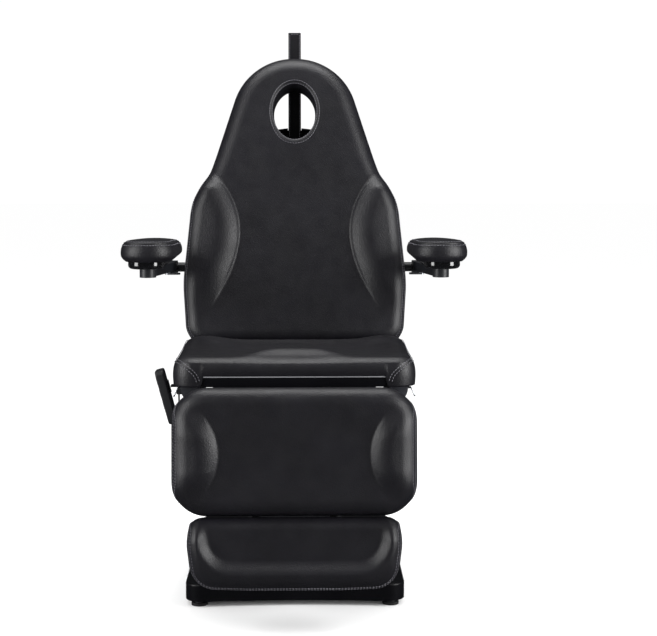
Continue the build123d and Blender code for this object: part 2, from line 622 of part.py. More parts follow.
def drive_housing(x, z, mouth, bore_end, far_end):
    """Tube, gearbox and motor of a drive, from the mouth that the rod comes out of to the far end."""
    tube = rod_y(ACTUATOR_RADIUS, x, sorted((mouth, bore_end)), z)
    tube -= rod_y(ROD_RADIUS + FIT, x, sorted((mouth - math.copysign(1, bore_end - mouth), bore_end)), z)
    gearbox = block((x - GEARBOX_HALF, x + GEARBOX_HALF), sorted((bore_end, far_end)),
                    (z - GEARBOX_DROP, z + ACTUATOR_RADIUS))
    return tube + fillet(gearbox.edges(), 4)


back_rod_z = rod_height(BACK_HINGE, BACK_LEVER, BACK_RANGE / 2)
leg_rod_z = rod_height(LEG_HINGE, LEG_LEVER, LEG_RANGE / 2)


def make_drives():
    keep("back_rod", crosshead_rod(BACK_HINGE, BACK_LEVER, BACK_RANGE / 2, -ACTUATOR_X, BACK_ROD_END))
    flat_y = BACK_HINGE[0] - BACK_LEVER * math.sin(math.radians(BACK_RANGE / 2)) - CROSSHEAD[1] / 2
    keep("back_drive", drive_housing(-ACTUATOR_X, back_rod_z, flat_y - DRIVE_MOUTH_GAPS[0], *BACK_DRIVE_Y))
    keep("leg_rod", crosshead_rod(LEG_HINGE, LEG_LEVER, LEG_RANGE / 2, ACTUATOR_X, LEG_ROD_END))
    rest_y = LEG_HINGE[0] + LEG_LEVER * math.sin(math.radians(LEG_RANGE / 2)) + CROSSHEAD[1] / 2
    keep("leg_drive", drive_housing(ACTUATOR_X, leg_rod_z, rest_y + DRIVE_MOUTH_GAPS[1], *LEG_DRIVE_Y))


# ---------------------------------------------------------------- leg and foot sections
FOOT_SHAPE = [(0.44, 0, 400), (0.953, 0.027, 68), (1.007, 0.66, 150), (0.96, 1, 17)]


def make_leg():
    middle = LEG_START - LEG_LENGTH / 2
    face = RectangleRounded(LEG_WIDTH, LEG_LENGTH, LEG_CORNER)
    back = LEG_FACE - LEG_PAD
    keep("leg_cushion", leg_place * Pos(0, middle, 0) * slab(face, (back, LEG_FACE), 20, 5))
    board = RectangleRounded(LEG_WIDTH - 2 * BACKING_INSET, LEG_LENGTH - 2 * BACKING_INSET,
                             LEG_CORNER - BACKING_INSET)
    keep("leg_board", leg_place * Pos(0, middle, back - BOARD) * extrude(board, BOARD))

    top = back - BOARD
    width, deep = LEG_RAIL
    x = (FRAME_X - width / 2, FRAME_X + width / 2)
    rail = block(x, (-LEG_RAIL_LENGTH, LUG_RADIUS), (top - deep, top))
    rail -= block((x[0] + LEG_RAIL_WALL, x[1] - LEG_RAIL_WALL), (-LEG_RAIL_LENGTH - 1, -30),
                  (top - deep + LEG_RAIL_WALL, top - LEG_RAIL_WALL))
    rail -= rod_x(TORQUE_TUBE_RADIUS + SEAT_FIT, (x[0] - 1, x[1] + 1), 0, 0)
    keep("leg_rails", *[leg_place * part for part in both_sides(rail)])

    tube = rod_x(TORQUE_TUBE_RADIUS, (-FRAME_X - 15, ACTUATOR_X + 15), 0, 0)
    tube -= rod_x(HINGE_RADIUS + FIT, (-FRAME_X - 16, ACTUATOR_X + 16), 0, 0)
    keep("leg_tube", leg_place * tube)
    keep("leg_lever", *lever(LEG_HINGE, LEG_LEVER, LEG_RANGE / 2, ACTUATOR_X))

    start = LEG_START - LEG_LENGTH - FOOT_GAP - FOOT_LENGTH
    outline = rounded_outline(FOOT_SHAPE, FOOT_WIDTH / 2, FOOT_LENGTH, start)
    keep("foot_cushion", leg_place * slab(outline, (back, LEG_FACE), 16, 5))
    outline = rounded_outline(FOOT_SHAPE, FOOT_WIDTH / 2 - BACKING_INSET, FOOT_LENGTH - 2 * BACKING_INSET,
                              start + BACKING_INSET)
    keep("foot_board", leg_place * (Pos(0, 0, back - BOARD) * extrude(outline, BOARD)))

    play = LEG_RAIL_WALL + SLIDE_GAP
    end = start + 16
    foot_rail = block((x[0] + play, x[1] - play), (end, -LEG_RAIL_LENGTH + FOOT_RAIL_INSIDE),
                      (top - deep + play, top - play))
    foot_rail += block((x[0] + play, x[1] - play), (end, start + FOOT_LENGTH - 10), (top - play, top))
    keep("foot_rails", *[leg_place * part for part in both_sides(foot_rail)])


# ---------------------------------------------------------------- armrests
def make_armrests():
    angle = math.radians(BACK_ANGLE)
    tube_y = BACK_HINGE[0] + ARM_TUBE_AT * math.cos(angle) + ARM_TUBE_DEPTH * math.sin(angle)
    tube_z = BACK_HINGE[1] + ARM_TUBE_AT * math.sin(angle) - ARM_TUBE_DEPTH * math.cos(angle)
    pivot_x, pivot_y = ARM_PIVOT
    hub_x = sum(ARM_HUB) / 2
    bar_top = ARM_BOSS_TOP - ARM_BAR_DROP
    bar_z = (bar_top - ARM_HEIGHT, bar_top)
    print("armrest tube at", round(tube_y, 1), round(tube_z, 1))

    bend_y = tube_y - ARM_STRAIGHT
    bar = Polyline((hub_x - ARM_HALF, tube_y), (hub_x + ARM_HALF, tube_y), (hub_x + ARM_HALF, bend_y),
                   (pivot_x + ARM_HALF, pivot_y), (pivot_x - ARM_HALF, pivot_y), (hub_x - ARM_HALF, bend_y),
                   close=True)
    bar = Pos(0, 0, bar_z[0]) * extrude(make_face(bar), ARM_HEIGHT)
    arm = bar + rod_x(ARM_HUB_RADIUS, ARM_HUB, tube_y, tube_z)
    arm += rod_z(ARM_BOSS_RADIUS, pivot_x, pivot_y, (bar_z[0], ARM_BOSS_TOP))
    arm -= rod_x(ARM_TUBE_RADIUS + FIT, (ARM_HUB[0] - 5, ARM_HUB[1] + 30), tube_y, tube_z)
    arm += rod_z(ARM_PIN_RADIUS, pivot_x, pivot_y, (ARM_BOSS_TOP, ARM_BOSS_TOP + ARM_PIN))

    pan_z = (ARM_BOSS_TOP + ARM_PLAY, ARM_BOSS_TOP + ARM_PLAY + ARM_PAN_HEIGHT)
    pan = slab(RectangleRounded(*ARM_PAN, 48), pan_z, 0.5, 10)
    pan = Pos(ARM_PAD_X + 8, ARM_PAD_Y, 0) * pan
    pan -= rod_z(ARM_PIN_RADIUS + FIT, pivot_x, pivot_y, (ARM_BOSS_TOP, ARM_BOSS_TOP + ARM_PIN + ARM_PLAY))

    pad_z = (pan_z[1], pan_z[1] + ARM_PAD[2])
    pad = slab(RectangleRounded(ARM_PAD[0], ARM_PAD[1], ARM_PAD[0] / 2 - 1), pad_z, 16, 10)
    pad = Pos(ARM_PAD_X, ARM_PAD_Y, 0) * pad

    lever_z = (bar_z[0] - LOCK_DROP[0], bar_z[0] - LOCK_DROP[1])
    lever_y = tube_y - LOCK_BACK
    lever_x = hub_x + LOCK_OUT
    paddle = block((lever_x - LOCK_REACH[0], lever_x + LOCK_REACH[1]),
                   (lever_y - LOCK_HALF, lever_y + LOCK_HALF), lever_z)
    paddle = fillet(paddle.edges().filter_by(Axis.Z), 8)
    paddle += rod_z(LOCK_STUD_RADIUS, lever_x, lever_y, (lever_z[1], bar_z[0] - ARM_PLAY))

    for name, side in (("left", 0), ("right", 1)):
        keep("arm_bracket_" + name, both_sides(arm)[side])
        keep("arm_pan_" + name, both_sides(pan)[side])
        keep("arm_cushion_" + name, both_sides(pad)[side])
        keep("arm_lock_" + name, both_sides(paddle)[side])


# ---------------------------------------------------------------- handset, its hook and its cable
CABLE_ROUTE = [(-307, -312, 594), (-307, -312, 570), (-307, -313, 531), (-308, -314.5, 487), (-308, -314, 441),
               (-309, -309, 398), (-311, -296, 364), (-314, -276, 353), (-316, -257, 368), (-315, -249, 403),
               (-314, -249.5, 438), (-316.98, -250, 470.75), (-323.13, -250, 493.93)]


def make_handset(skirt):
    place = Pos(*HANDSET_CENTRE) * Rot(0, -HANDSET_TILT, 0)
    thick, width, height = HANDSET
    body = Box(thick, width, height)
    body = fillet(body.edges().filter_by(Axis.X), 14)
    body = fillet(body.edges().group_by(Axis.X)[0] + body.edges().group_by(Axis.X)[-1], 4)
    for row in (-1, 0, 1):
        level = row * KEY_PITCH + KEY_ROW
        body -= Pos(-thick / 2, 0, level) * Box(2 * KEY[0] + 1, KEY[1] + 2 * KEY_GAP, KEY[2] + 2 * KEY_GAP)
        key = Pos(-thick / 2 + KEY_SUNK, 0, level) * Box(*KEY)
        key = fillet(key.edges().group_by(Axis.X)[0], 1.2)
        keep("handset_key_" + str(row + 2), place * key)
    keep("handset_body", place * body)

    relief = Pos(0, 0, -height / 2 - RELIEF[2] / 2) * Cone(*RELIEF)
    keep("cable_relief", place * relief)
    end = place * Pos(0, 0, -height / 2 - RELIEF[2])
    print("cable meets the relief at", end.position)

    hook_y = (HANDSET_Y - HOOK_HALF, HANDSET_Y + HOOK_HALF)
    hook_z = (BOARD_BOTTOM - HOOK_DROP[0], BOARD_BOTTOM - HOOK_DROP[1])
    arm = block((HANDSET_CENTRE[0] + thick / 2 + 1, -SKIRT_X + 2), hook_y, hook_z)
    arm = outside_skirt(arm, skirt)
    saddle = place * (Pos((thick + HOOK_PLATE[0]) / 2, 0, 24) * Box(*HOOK_PLATE))
    keep("handset_hook", saddle, arm - saddle)

    out, half, tall = GLAND
    exit_y, exit_z = CABLE_ROUTE[0][1:]
    gland = block((-SKIRT_X - out, -SKIRT_X + SKIRT_SINK), (exit_y - half, exit_y + half), (exit_z, exit_z + tall))
    keep("cable_gland", outside_skirt(gland, skirt))


def outside_skirt(shape, skirt):
    """The part of a moulding that lies outside the right-hand skirt."""
    rest = shape - skirt.mirror(Plane.YZ)
    return max(rest.solids(), key=lambda part: part.volume)


def make_side_hooks():
    """A wire hook out of each skirt, near its front: out, down, across, and back in."""
    near, far = [SKIRT_FRONT_Y + y for y in WIRE_Y]
    top, low = [BOARD_BOTTOM - drop for drop in WIRE_DROPS]
    knee, end = [SKIRT_X + reach for reach in WIRE_REACHES]
    path = FilletPolyline((SKIRT_X, near, top), (knee, near, top), (end, near, low), (end, far, low),
                          (knee, far, top), (SKIRT_X, far, top), radius=WIRE_BEND)
    wire = sweep(Plane(path @ 0, z_dir=path % 0) * Circle(HOOK_WIRE), path)
    keep("side_hooks", *both_sides(wire))


def make_cable():
    points = [Vector(*point) for point in CABLE_ROUTE]
    radii = []
    for before, corner, after in zip(points, points[1:], points[2:]):
        turn = (corner - before).get_angle(after - corner)
        short = min((corner - before).length, (after - corner).length)
        radii.append(0.45 * short / math.tan(math.radians(turn / 2)))
    print("cable radii", [round(radius) for radius in radii])
    path = FilletPolyline(*CABLE_ROUTE, radius=radii)
    tube = sweep(Plane(path @ 0, z_dir=path % 0) * Circle(CABLE_RADIUS), path)
    print("cable length", round(path.length, 1), "volume share",
          round(tube.volume / (math.pi * CABLE_RADIUS ** 2 * path.length), 4))
    keep("handset_cable", Pos(ROUTE_SKIRT_X - SKIRT_X, 0, 0) * tube)


# ---------------------------------------------------------------- build and write
make_base()
make_column()
make_seat_frame()
seat_skirt = make_skirts()
make_seat()
make_back()
make_drives()
make_leg()
make_armrests()
make_handset(seat_skirt)
make_side_hooks()
make_cable()

CORD_NODES = ("handset_cable",)
boxes = [Compound(solids).bounding_box() for name, solids in made.items() if name not in CORD_NODES]
shift = -(min(box.min.Y for box in boxes) + max(box.max.Y for box in boxes)) / 2
print("Y shift", round(shift, 3), "top", round(max(box.max.Z for box in boxes), 2))
os.makedirs("parts", exist_ok=True)
for name, solids in made.items():
    moved = [Pos(0, shift, 0) * solid for solid in solids]
    export_step(Compound(moved) if len(moved) > 1 else moved[0], "parts/" + name + ".step")
print(len(made), "nodes")
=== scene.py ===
import json
import math

import bpy
import numpy as np
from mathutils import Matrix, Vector


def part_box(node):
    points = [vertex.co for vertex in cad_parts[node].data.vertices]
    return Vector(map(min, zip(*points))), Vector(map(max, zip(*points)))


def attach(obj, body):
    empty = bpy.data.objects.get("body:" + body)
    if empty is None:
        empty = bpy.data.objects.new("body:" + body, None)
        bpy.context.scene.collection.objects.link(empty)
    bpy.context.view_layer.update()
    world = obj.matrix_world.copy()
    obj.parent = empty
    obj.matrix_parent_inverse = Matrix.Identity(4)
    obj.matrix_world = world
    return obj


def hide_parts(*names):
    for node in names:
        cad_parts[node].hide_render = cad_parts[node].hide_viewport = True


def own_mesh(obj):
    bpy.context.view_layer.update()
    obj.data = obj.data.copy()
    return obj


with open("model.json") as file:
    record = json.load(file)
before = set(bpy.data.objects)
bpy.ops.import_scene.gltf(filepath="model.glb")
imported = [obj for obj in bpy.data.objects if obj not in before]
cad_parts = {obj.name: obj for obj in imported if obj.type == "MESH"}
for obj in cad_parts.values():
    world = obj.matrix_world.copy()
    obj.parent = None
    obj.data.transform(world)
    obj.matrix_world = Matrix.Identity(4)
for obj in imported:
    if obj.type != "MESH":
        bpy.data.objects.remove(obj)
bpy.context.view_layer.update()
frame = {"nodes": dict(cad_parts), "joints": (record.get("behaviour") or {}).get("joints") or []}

joints = {joint["name"]: joint for joint in frame["joints"]}
BACK_HINGE = np.array(joints["back_recline"]["pos_m"])
LEG_HINGE = np.array(joints["leg_raise"]["pos_m"])
BACK_ANGLE = math.radians(75)
LEG_ANGLE = math.radians(82)


# ---------------------------------------------------------------- camera
CAMERA_TO_BASE = 3.898    # from the front of the base
CAMERA_HEIGHT = 1.24
CAMERA_ACROSS = 0.016
CAMERA_DOWN = 6.54        # degrees below level
CAMERA_TURN = -1.10       # degrees to the left
LENS = 80.7
base_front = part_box("base_cover")[0].y
camera_data = bpy.data.cameras.new("camera")
camera_data.sensor_width = 36
camera_data.lens = LENS
camera = bpy.data.objects.new("camera", camera_data)
camera.location = (CAMERA_ACROSS, base_front - CAMERA_TO_BASE, CAMERA_HEIGHT)
camera.rotation_euler = (math.radians(90 - CAMERA_DOWN), 0, math.radians(CAMERA_TURN))
bpy.context.scene.collection.objects.link(camera)
bpy.context.scene.camera = camera


# ---------------------------------------------------------------- handset cable
# The route of the cable in mm, counted from the seat; its gland tells where that lies in the frame.
CABLE_ROUTE = [(-307, -312, 594), (-307, -312, 570), (-307, -313, 531), (-308, -314.5, 487),
               (-308, -314, 441), (-309, -309, 398), (-311, -296, 364), (-314, -276, 353),
               (-316, -257, 368), (-315, -249, 403), (-314, -249.5, 438), (-316.98, -250, 470.75),
               (-323.13, -250, 493.93)]
GLAND_Y = -0.312          # middle of the gland, counted from the seat
CABLE_DIAMETER = 0.005
gland_low, gland_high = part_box("cable_gland")
seat_origin_y = (gland_low.y + gland_high.y) / 2 - GLAND_Y
cable_curve = bpy.data.curves.new("handset_cord", "CURVE")
cable_curve.dimensions = "3D"
cable_curve.bevel_depth = 1               # times each point's own radius
cable_curve.bevel_resolution = 5
cable_curve.use_fill_caps = True
spline = cable_curve.splines.new("NURBS")
spline.points.add(len(CABLE_ROUTE) - 1)
for point, (x, y, z) in zip(spline.points, CABLE_ROUTE):
    point.co = (x / 1000, y / 1000 + seat_origin_y, z / 1000, 1)
    point.radius = CABLE_DIAMETER / 2
spline.order_u = 3
spline.use_endpoint_u = True
spline.resolution_u = 12
cable = bpy.data.objects.new("handset_cord", cable_curve)
bpy.context.scene.collection.objects.link(cable)
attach(cable, "lift")
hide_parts("handset_cable")


# ---------------------------------------------------------------- materials
def linear(hex_colour):
    """sRGB hex to linear RGBA."""
    channels = [int(hex_colour[i:i + 2], 16) / 255 for i in (1, 3, 5)]
    return [c / 12.92 if c <= 0.04045 else ((c + 0.055) / 1.055) ** 2.4 for c in channels] + [1]


def add(tree, kind, inputs=None, links=None, **settings):
    """Adds one node: plain settings, socket values by name, and links as {input: (node, output)}."""
    node = tree.nodes.new(kind)
    for key, value in settings.items():
        setattr(node, key, value)
    for key, value in (inputs or {}).items():
        node.inputs[key].default_value = value
    for key, (source, output) in (links or {}).items():
        tree.links.new(source.outputs[output], node.inputs[key])
    return node


def start_material(name):
    """An empty node material and the object coordinates that its patterns read."""
    material = bpy.data.materials.new(name)
    material.use_nodes = True
    tree = material.node_tree
    tree.nodes.clear()
    return material, tree, add(tree, "ShaderNodeTexCoord")


def finish_material(tree, shader):
    """Joins the shader to the material's output."""
    add(tree, "ShaderNodeOutputMaterial", links={"Surface": (shader, "BSDF")})


def colour_ramp(tree, source, output, low, high, start=0.3, end=0.7):
    """A two-stop ramp between two hex colours."""
    ramp = add(tree, "ShaderNodeValToRGB", links={"Fac": (source, output)})
    ramp.color_ramp.elements[0].position = start
    ramp.color_ramp.elements[0].color = linear(low)
    ramp.color_ramp.elements[1].position = end
    ramp.color_ramp.elements[1].color = linear(high)
    return ramp


CLOUDS_PER_METRE = 9.0    # slow drift of the dye, about 0.1 m across
WEAR_PER_METRE = 26.0     # polished and dull patches, about 40 mm across
PEBBLES_PER_METRE = 420.0
CREASES_PER_METRE = 160.0


def upholstery_leather(name, low, high, rough, ior):
    """Black PU leather with an embossed pebble grain: soft wide highlights broken up by the grain. The real
    pebbles are 0.8 mm across; they are drawn 2.4 mm across so that they show."""
    material, tree, place = start_material(name)
    cloud = add(tree, "ShaderNodeTexNoise", {"Scale": CLOUDS_PER_METRE, "Detail": 5.0},
                {"Vector": (place, "Object")})
    tint = colour_ramp(tree, cloud, "Fac", low, high)
    wear = add(tree, "ShaderNodeTexNoise", {"Scale": WEAR_PER_METRE, "Detail": 3.0},
               {"Vector": (place, "Object")})
    gloss = add(tree, "ShaderNodeMapRange",
                {"From Min": 0.35, "From Max": 0.65, "To Min": rough[0], "To Max": rough[1]},
                {"Value": (wear, "Fac")})
    pebble = add(tree, "ShaderNodeTexVoronoi", {"Scale": PEBBLES_PER_METRE}, {"Vector": (place, "Object")},
                 feature="F1")
    crease = add(tree, "ShaderNodeTexNoise", {"Scale": CREASES_PER_METRE, "Detail": 4.0},
                 {"Vector": (place, "Object")})
    fine = add(tree, "ShaderNodeBump", {"Strength": 0.6, "Distance": 0.0007},
               {"Height": (pebble, "Distance")})
    bump = add(tree, "ShaderNodeBump", {"Strength": 0.30, "Distance": 0.0012},
               {"Height": (crease, "Fac"), "Normal": (fine, "Normal")})
    shader = add(tree, "ShaderNodeBsdfPrincipled", {"IOR": ior},
                 {"Base Color": (tint, "Color"), "Roughness": (gloss, "Result"), "Normal": (bump, "Normal")})
    finish_material(tree, shader)
    return material


def grained(name, low, high, scale, roughness, metallic=0.0, strength=0.1, depth=0.0003, spread=0.08,
            coat=0.0, ior=1.5):
    """A finish whose roughness and height follow one fine noise, and whose colour follows a slow one, as
    paint, mouldings and ground metal do. scale is in grains per metre."""
    material, tree, place = start_material(name)
    grain = add(tree, "ShaderNodeTexNoise", {"Scale": scale, "Detail": 4.0}, {"Vector": (place, "Object")})
    cloud = add(tree, "ShaderNodeTexNoise", {"Scale": 7.0, "Detail": 3.0}, {"Vector": (place, "Object")})
    tint = colour_ramp(tree, cloud, "Fac", low, high)
    gloss = add(tree, "ShaderNodeMapRange",
                {"From Min": 0.3, "From Max": 0.7, "To Min": roughness - spread / 2,
                 "To Max": roughness + spread / 2}, {"Value": (grain, "Fac")})
    bump = add(tree, "ShaderNodeBump", {"Strength": strength, "Distance": depth}, {"Height": (grain, "Fac")})
    shader = add(tree, "ShaderNodeBsdfPrincipled", {"Metallic": metallic, "Coat Weight": coat, "IOR": ior},
                 {"Base Color": (tint, "Color"), "Roughness": (gloss, "Result"), "Normal": (bump, "Normal")})
    finish_material(tree, shader)
    return material


def brushed(name, low, high, axis, roughness):
    """Bare metal with fine drawing lines along one axis, as a noise stretched about forty times along it."""
    material, tree, place = start_material(name)
    scale = [900.0, 900.0, 900.0]
    scale[axis] = 22.0
    turn = add(tree, "ShaderNodeMapping", {"Scale": scale}, {"Vector": (place, "Object")})
    lines = add(tree, "ShaderNodeTexNoise", {"Scale": 1.0, "Detail": 3.0}, {"Vector": (turn, "Vector")})
    tint = colour_ramp(tree, lines, "Fac", low, high)
    gloss = add(tree, "ShaderNodeMapRange", {"To Min": roughness - 0.08, "To Max": roughness + 0.1},
                {"Value": (lines, "Fac")})
    bump = add(tree, "ShaderNodeBump", {"Strength": 0.12, "Distance": 0.0002}, {"Height": (lines, "Fac")})
    shader = add(tree, "ShaderNodeBsdfPrincipled", {"Metallic": 1.0},
                 {"Base Color": (tint, "Color"), "Roughness": (gloss, "Result"), "Normal": (bump, "Normal")})
    finish_material(tree, shader)
    return material


# Soft, wide highlights along the rolls, with a fine sparkle of grain.
leather = upholstery_leather("upholstery_leather", "#0d0c11", "#111016", (0.40, 0.45), 1.5)
# The same hide, rougher where it is wrapped tight round the bar; its darker colour is painted shade on the
# bar's face.
bar_leather = upholstery_leather("bar_sleeve_leather", "#08070b", "#0c0b10", (0.5, 0.56), 1.25)
# Black twisted thread drawn in grey: the grey is painted glints that set the seams off from the leather.
thread = grained("bonded_polyester_thread", "#4b4a50", "#6a696f", 2500, 0.36, strength=0.4)
# Baked powder with a slight orange peel: near black, with a soft line of light along the edges.
powder_coat = grained("black_powder_coated_steel", "#050508", "#08080c", 1100, 0.36, strength=0.18,
                      depth=0.0004, ior=1.32)
# Sprayed paint on tube: satin, a little lighter than the powder.
tube_coat = grained("satin_black_painted_tube", "#121317", "#181a1e", 900, 0.42, strength=0.12)
# Polished moulding: small sharp highlights on the armrest pans.
gloss_abs = grained("gloss_black_abs", "#08080a", "#0b0b0d", 500, 0.12, strength=0.03, spread=0.04, coat=0.5)
# Spark-eroded texture: an even, dull charcoal.
matte_abs = grained("textured_black_abs", "#151619", "#1c1d20", 1400, 0.5, strength=0.3, depth=0.0005)
# Fine-textured dark grey skirts, lighter than the leather above them.
pan_abs = grained("dark_grey_abs", "#2a2b2f", "#33343a", 1200, 0.38, strength=0.2)
# Silicone keys: mid grey without a highlight.
key_rubber = grained("soft_touch_grey_keys", "#4a4b50", "#5a5b60", 1500, 0.6)
# Machined acetal: off white and faintly waxy.
acetal = grained("natural_acetal", "#d9d6cc", "#e6e3da", 800, 0.35)
# Moulded rubber: matt, with a rough skin.
pad_rubber = grained("moulded_black_rubber", "#101012", "#18181a", 700, 0.72, strength=0.3)
# Extruded PVC: smooth, with one soft line of light along it.
cable_pvc = grained("black_pvc_cable", "#0e0e10", "#151517", 900, 0.45)
# Non-woven cloth stapled under the boards: flat black and fibrous.
dust_cover = grained("black_dust_cover_fabric", "#0f0f11", "#1b1b1e", 1600, 0.85, strength=0.6, depth=0.0006)
# Die-cast lever, brushed along its length: pale against the pans.
zinc_lever = brushed("brushed_zinc_lever", "#8e9094", "#b9bbbf", 0, 0.34)
# Light grey on the apron's moulding, a little metallic: a painted highlight, one bright line under the seat.
apron_highlight_trim = grained("satin_silver_trim", "#8a8b8f", "#98999d", 900, 0.42, metallic=0.2, strength=0.1)
# Centreless-ground bar: long narrow reflections.
ground_steel = brushed("ground_steel_rod", "#85878a", "#a9abae", 1, 0.3)
# Plated wire: the brightest metal on the bed.
chrome = grained("chrome_plated_wire", "#c9ccd0", "#dfe2e6", 300, 0.24, metallic=1.0, strength=0.02,
                 spread=0.04)

NODE_FINISH = {
    powder_coat: ("base_cover", "base_plate", "column_head", "front_apron"),
    tube_coat: ("column_outer", "column_inner", "seat_rails", "hinge_lugs", "back_rails", "back_lever",
                "back_tube", "bar_sleeve", "armrest_tubes", "leg_rails", "leg_tube", "leg_lever",
                "handset_hook", "arm_bracket_left", "arm_bracket_right"),
    ground_steel: ("foot_stems", "lift_rod", "hinge_shafts", "back_rod", "leg_rod", "foot_rails"),
    chrome: ("side_hooks",),
    apron_highlight_trim: ("apron_trim",),
    zinc_lever: ("arm_lock_left", "arm_lock_right"),
    gloss_abs: ("arm_pan_left", "arm_pan_right"),
    matte_abs: ("column_collar", "lift_motor", "mains_inlet", "back_shell", "clamp_knob", "handset_body",
                "cable_gland", "control_box", "back_drive", "leg_drive"),
    pan_abs: ("seat_skirts",),
    key_rubber: ("handset_key_1", "handset_key_2", "handset_key_3"),
    acetal: ("column_glides",),
    pad_rubber: ("foot_pads", "cable_relief"),
    dust_cover: ("seat_board", "back_board", "leg_board", "foot_board"),
    bar_leather: ("headrest_bar",),
}
for material, nodes in NODE_FINISH.items():
    for node in nodes:
        frame["nodes"][node].data.materials.clear()
        frame["nodes"][node].data.materials.append(material)
cable.data.materials.append(cable_pvc)


# ---------------------------------------------------------------- surfaces
def mesh_piece(name, vertices, faces, material, body):
    """A smooth-shaded mesh object at the origin that rides on a body."""
    mesh = bpy.data.meshes.new(name)
    mesh.from_pydata(vertices.tolist(), [], faces)
    mesh.materials.append(material)
    mesh.polygons.foreach_set("use_smooth", np.ones(len(mesh.polygons), bool))
    mesh.update()
    piece = bpy.data.objects.new(name, mesh)
    bpy.context.scene.collection.objects.link(piece)
    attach(piece, body)
    return piece


def tilted(points, hinge, angle):
    """Local (across, along, out of the face) points turned about X by angle and moved to the hinge."""
    across, along, out = points[..., 0], points[..., 1], points[..., 2]
    return np.stack([across + hinge[0], hinge[1] + along * math.cos(angle) - out * math.sin(angle),
                     hinge[2] + along * math.sin(angle) + out * math.cos(angle)], axis=-1)


def step(value):
    """Smooth step: 0 below 0, 1 above 1, and 3t^2 - 2t^3 between."""
    t = np.clip(value, 0, 1)
    return t * t * (3 - 2 * t)


def rounded_outline(corners, half_width, length, start, count):
    """Evenly spaced points round a mirrored polygon with rounded corners, anticlockwise from the middle of
    the bottom side. Each corner is an arc that leaves both sides radius * tan(turn / 2) from the corner."""
    side = np.array([(x * half_width, start + y * length) for x, y, radius in corners])
    radii = np.array([radius for x, y, radius in corners])
    points = np.concatenate([side, side[::-1] * (-1, 1)])
    radii = np.concatenate([radii, radii[::-1]])
    dense = []
    for i, corner in enumerate(points):
        before = points[i - 1] - corner
        after = points[(i + 1) % len(points)] - corner
        before = before / np.linalg.norm(before)
        after = after / np.linalg.norm(after)
        half_turn = (math.pi - math.acos(np.clip(before @ after, -1, 1))) / 2
        bisector = (before + after) / np.linalg.norm(before + after)
        centre = corner + bisector * radii[i] / math.cos(half_turn)
        first = corner + before * radii[i] * math.tan(half_turn) - centre
        last = corner + after * radii[i] * math.tan(half_turn) - centre
        share = np.linspace(0, 1, 48)[:, None]
        chord = first * (1 - share) + last * share
        dense.append(centre + chord / np.linalg.norm(chord, axis=1)[:, None] * radii[i])
    dense = np.concatenate(dense)
    dense = np.concatenate([dense, dense[:1]])
    travel = np.concatenate([[0], np.cumsum(np.linalg.norm(np.diff(dense, axis=0), axis=1))])
    at = (np.linspace(0, travel[-1], count, endpoint=False) - dense[0, 0]) % travel[-1]
    return np.stack([np.interp(at, travel, dense[:, 0]), np.interp(at, travel, dense[:, 1])], axis=1)


def inward_normals(outline):
    """Unit normals of an anticlockwise outline, pointing in: the tangent turned a quarter to the left."""
    tangent = np.roll(outline, -1, axis=0) - np.roll(outline, 1, axis=0)
    tangent = tangent / np.linalg.norm(tangent, axis=1)[:, None]
    return np.stack([-tangent[:, 1], tangent[:, 0]], axis=1)


def ring_quads(rows, columns, closed_rows):
    """Quads of a grid whose columns wrap round, and whose rows do too if closed_rows."""
    row = np.arange(rows if closed_rows else rows - 1)[:, None]
    column = np.arange(columns)[None, :]
    below = (row + 1) % rows
    right = (column + 1) % columns
    return np.stack([row * columns + column, below * columns + column, below * columns + right,
                     row * columns + right], axis=-1).reshape(-1, 4)


BOARD_LIP = 0.0075        # leather turned in under the edge of the board
BORDER_ROWS = 24
BOXING_ROWS = 15
UNDERSIDE_ROWS = 6
HOLE_WALL_ROWS = 9
HOLE_RIM_ROWS = 11
HOLE_WALL_BOW = 0.0025
POLE_SHARE = 0.002        # size of the first ring round a pole, as a share of the outline
STITCH_FROM_SEAM = 0.0042
BOX_STITCH_ROW = 1.6      # rows below the seam
PUCKER_PITCH = 0.016      # small gathers that the stitches pull into the leather
PUCKER_DEPTH = 0.0005
PUCKER_REACH = 0.011


def seam_turns(outline, at_sides, at_bottom, at_top):
    """How far round its edge a cushion's face reaches before the seam, in radians from the face's normal.
    Past a quarter turn the seam lies behind the edge. Sides and ends blend as the sixth power of the
    outline's normal."""
    normals = inward_normals(outline)
    ends = np.where(normals[:, 1] > 0, at_bottom, at_top)
    return ends + (at_sides - ends) * np.abs(normals[:, 0]) ** 6


def slope(value):
    """Rises from 0 to 1 steeply at first, after a short fillet, and levels out: 1 - (1 - t)^2.2."""
    t = np.clip(value, 0, 1)
    return (1 - (1 - t) ** 2.2) * step(t / 0.16)


def outline_travel(outline):
    """Distance along a closed outline at each of its points, and its whole length."""
    steps = np.linalg.norm(np.roll(outline, -1, axis=0) - outline, axis=1)
    return np.concatenate([[0], np.cumsum(steps)[:-1]]), steps.sum()


def gathers(outline):
    """Small waves along an outline: a sine of the distance along it, whose phase drifts with slower sines."""
    travel, whole = outline_travel(outline)
    waves = round(whole / PUCKER_PITCH)
    turn = 2 * math.pi * travel / whole
    return 0.5 + 0.5 * np.sin(waves * turn + 2.2 * np.sin(7 * turn) + 1.3 * np.sin(12 * turn + 1))


def level_row(points, level):
    """A row of a grid: plan points at one level, or at a level for each."""
    return np.column_stack([points, np.broadcast_to(level, len(points))])


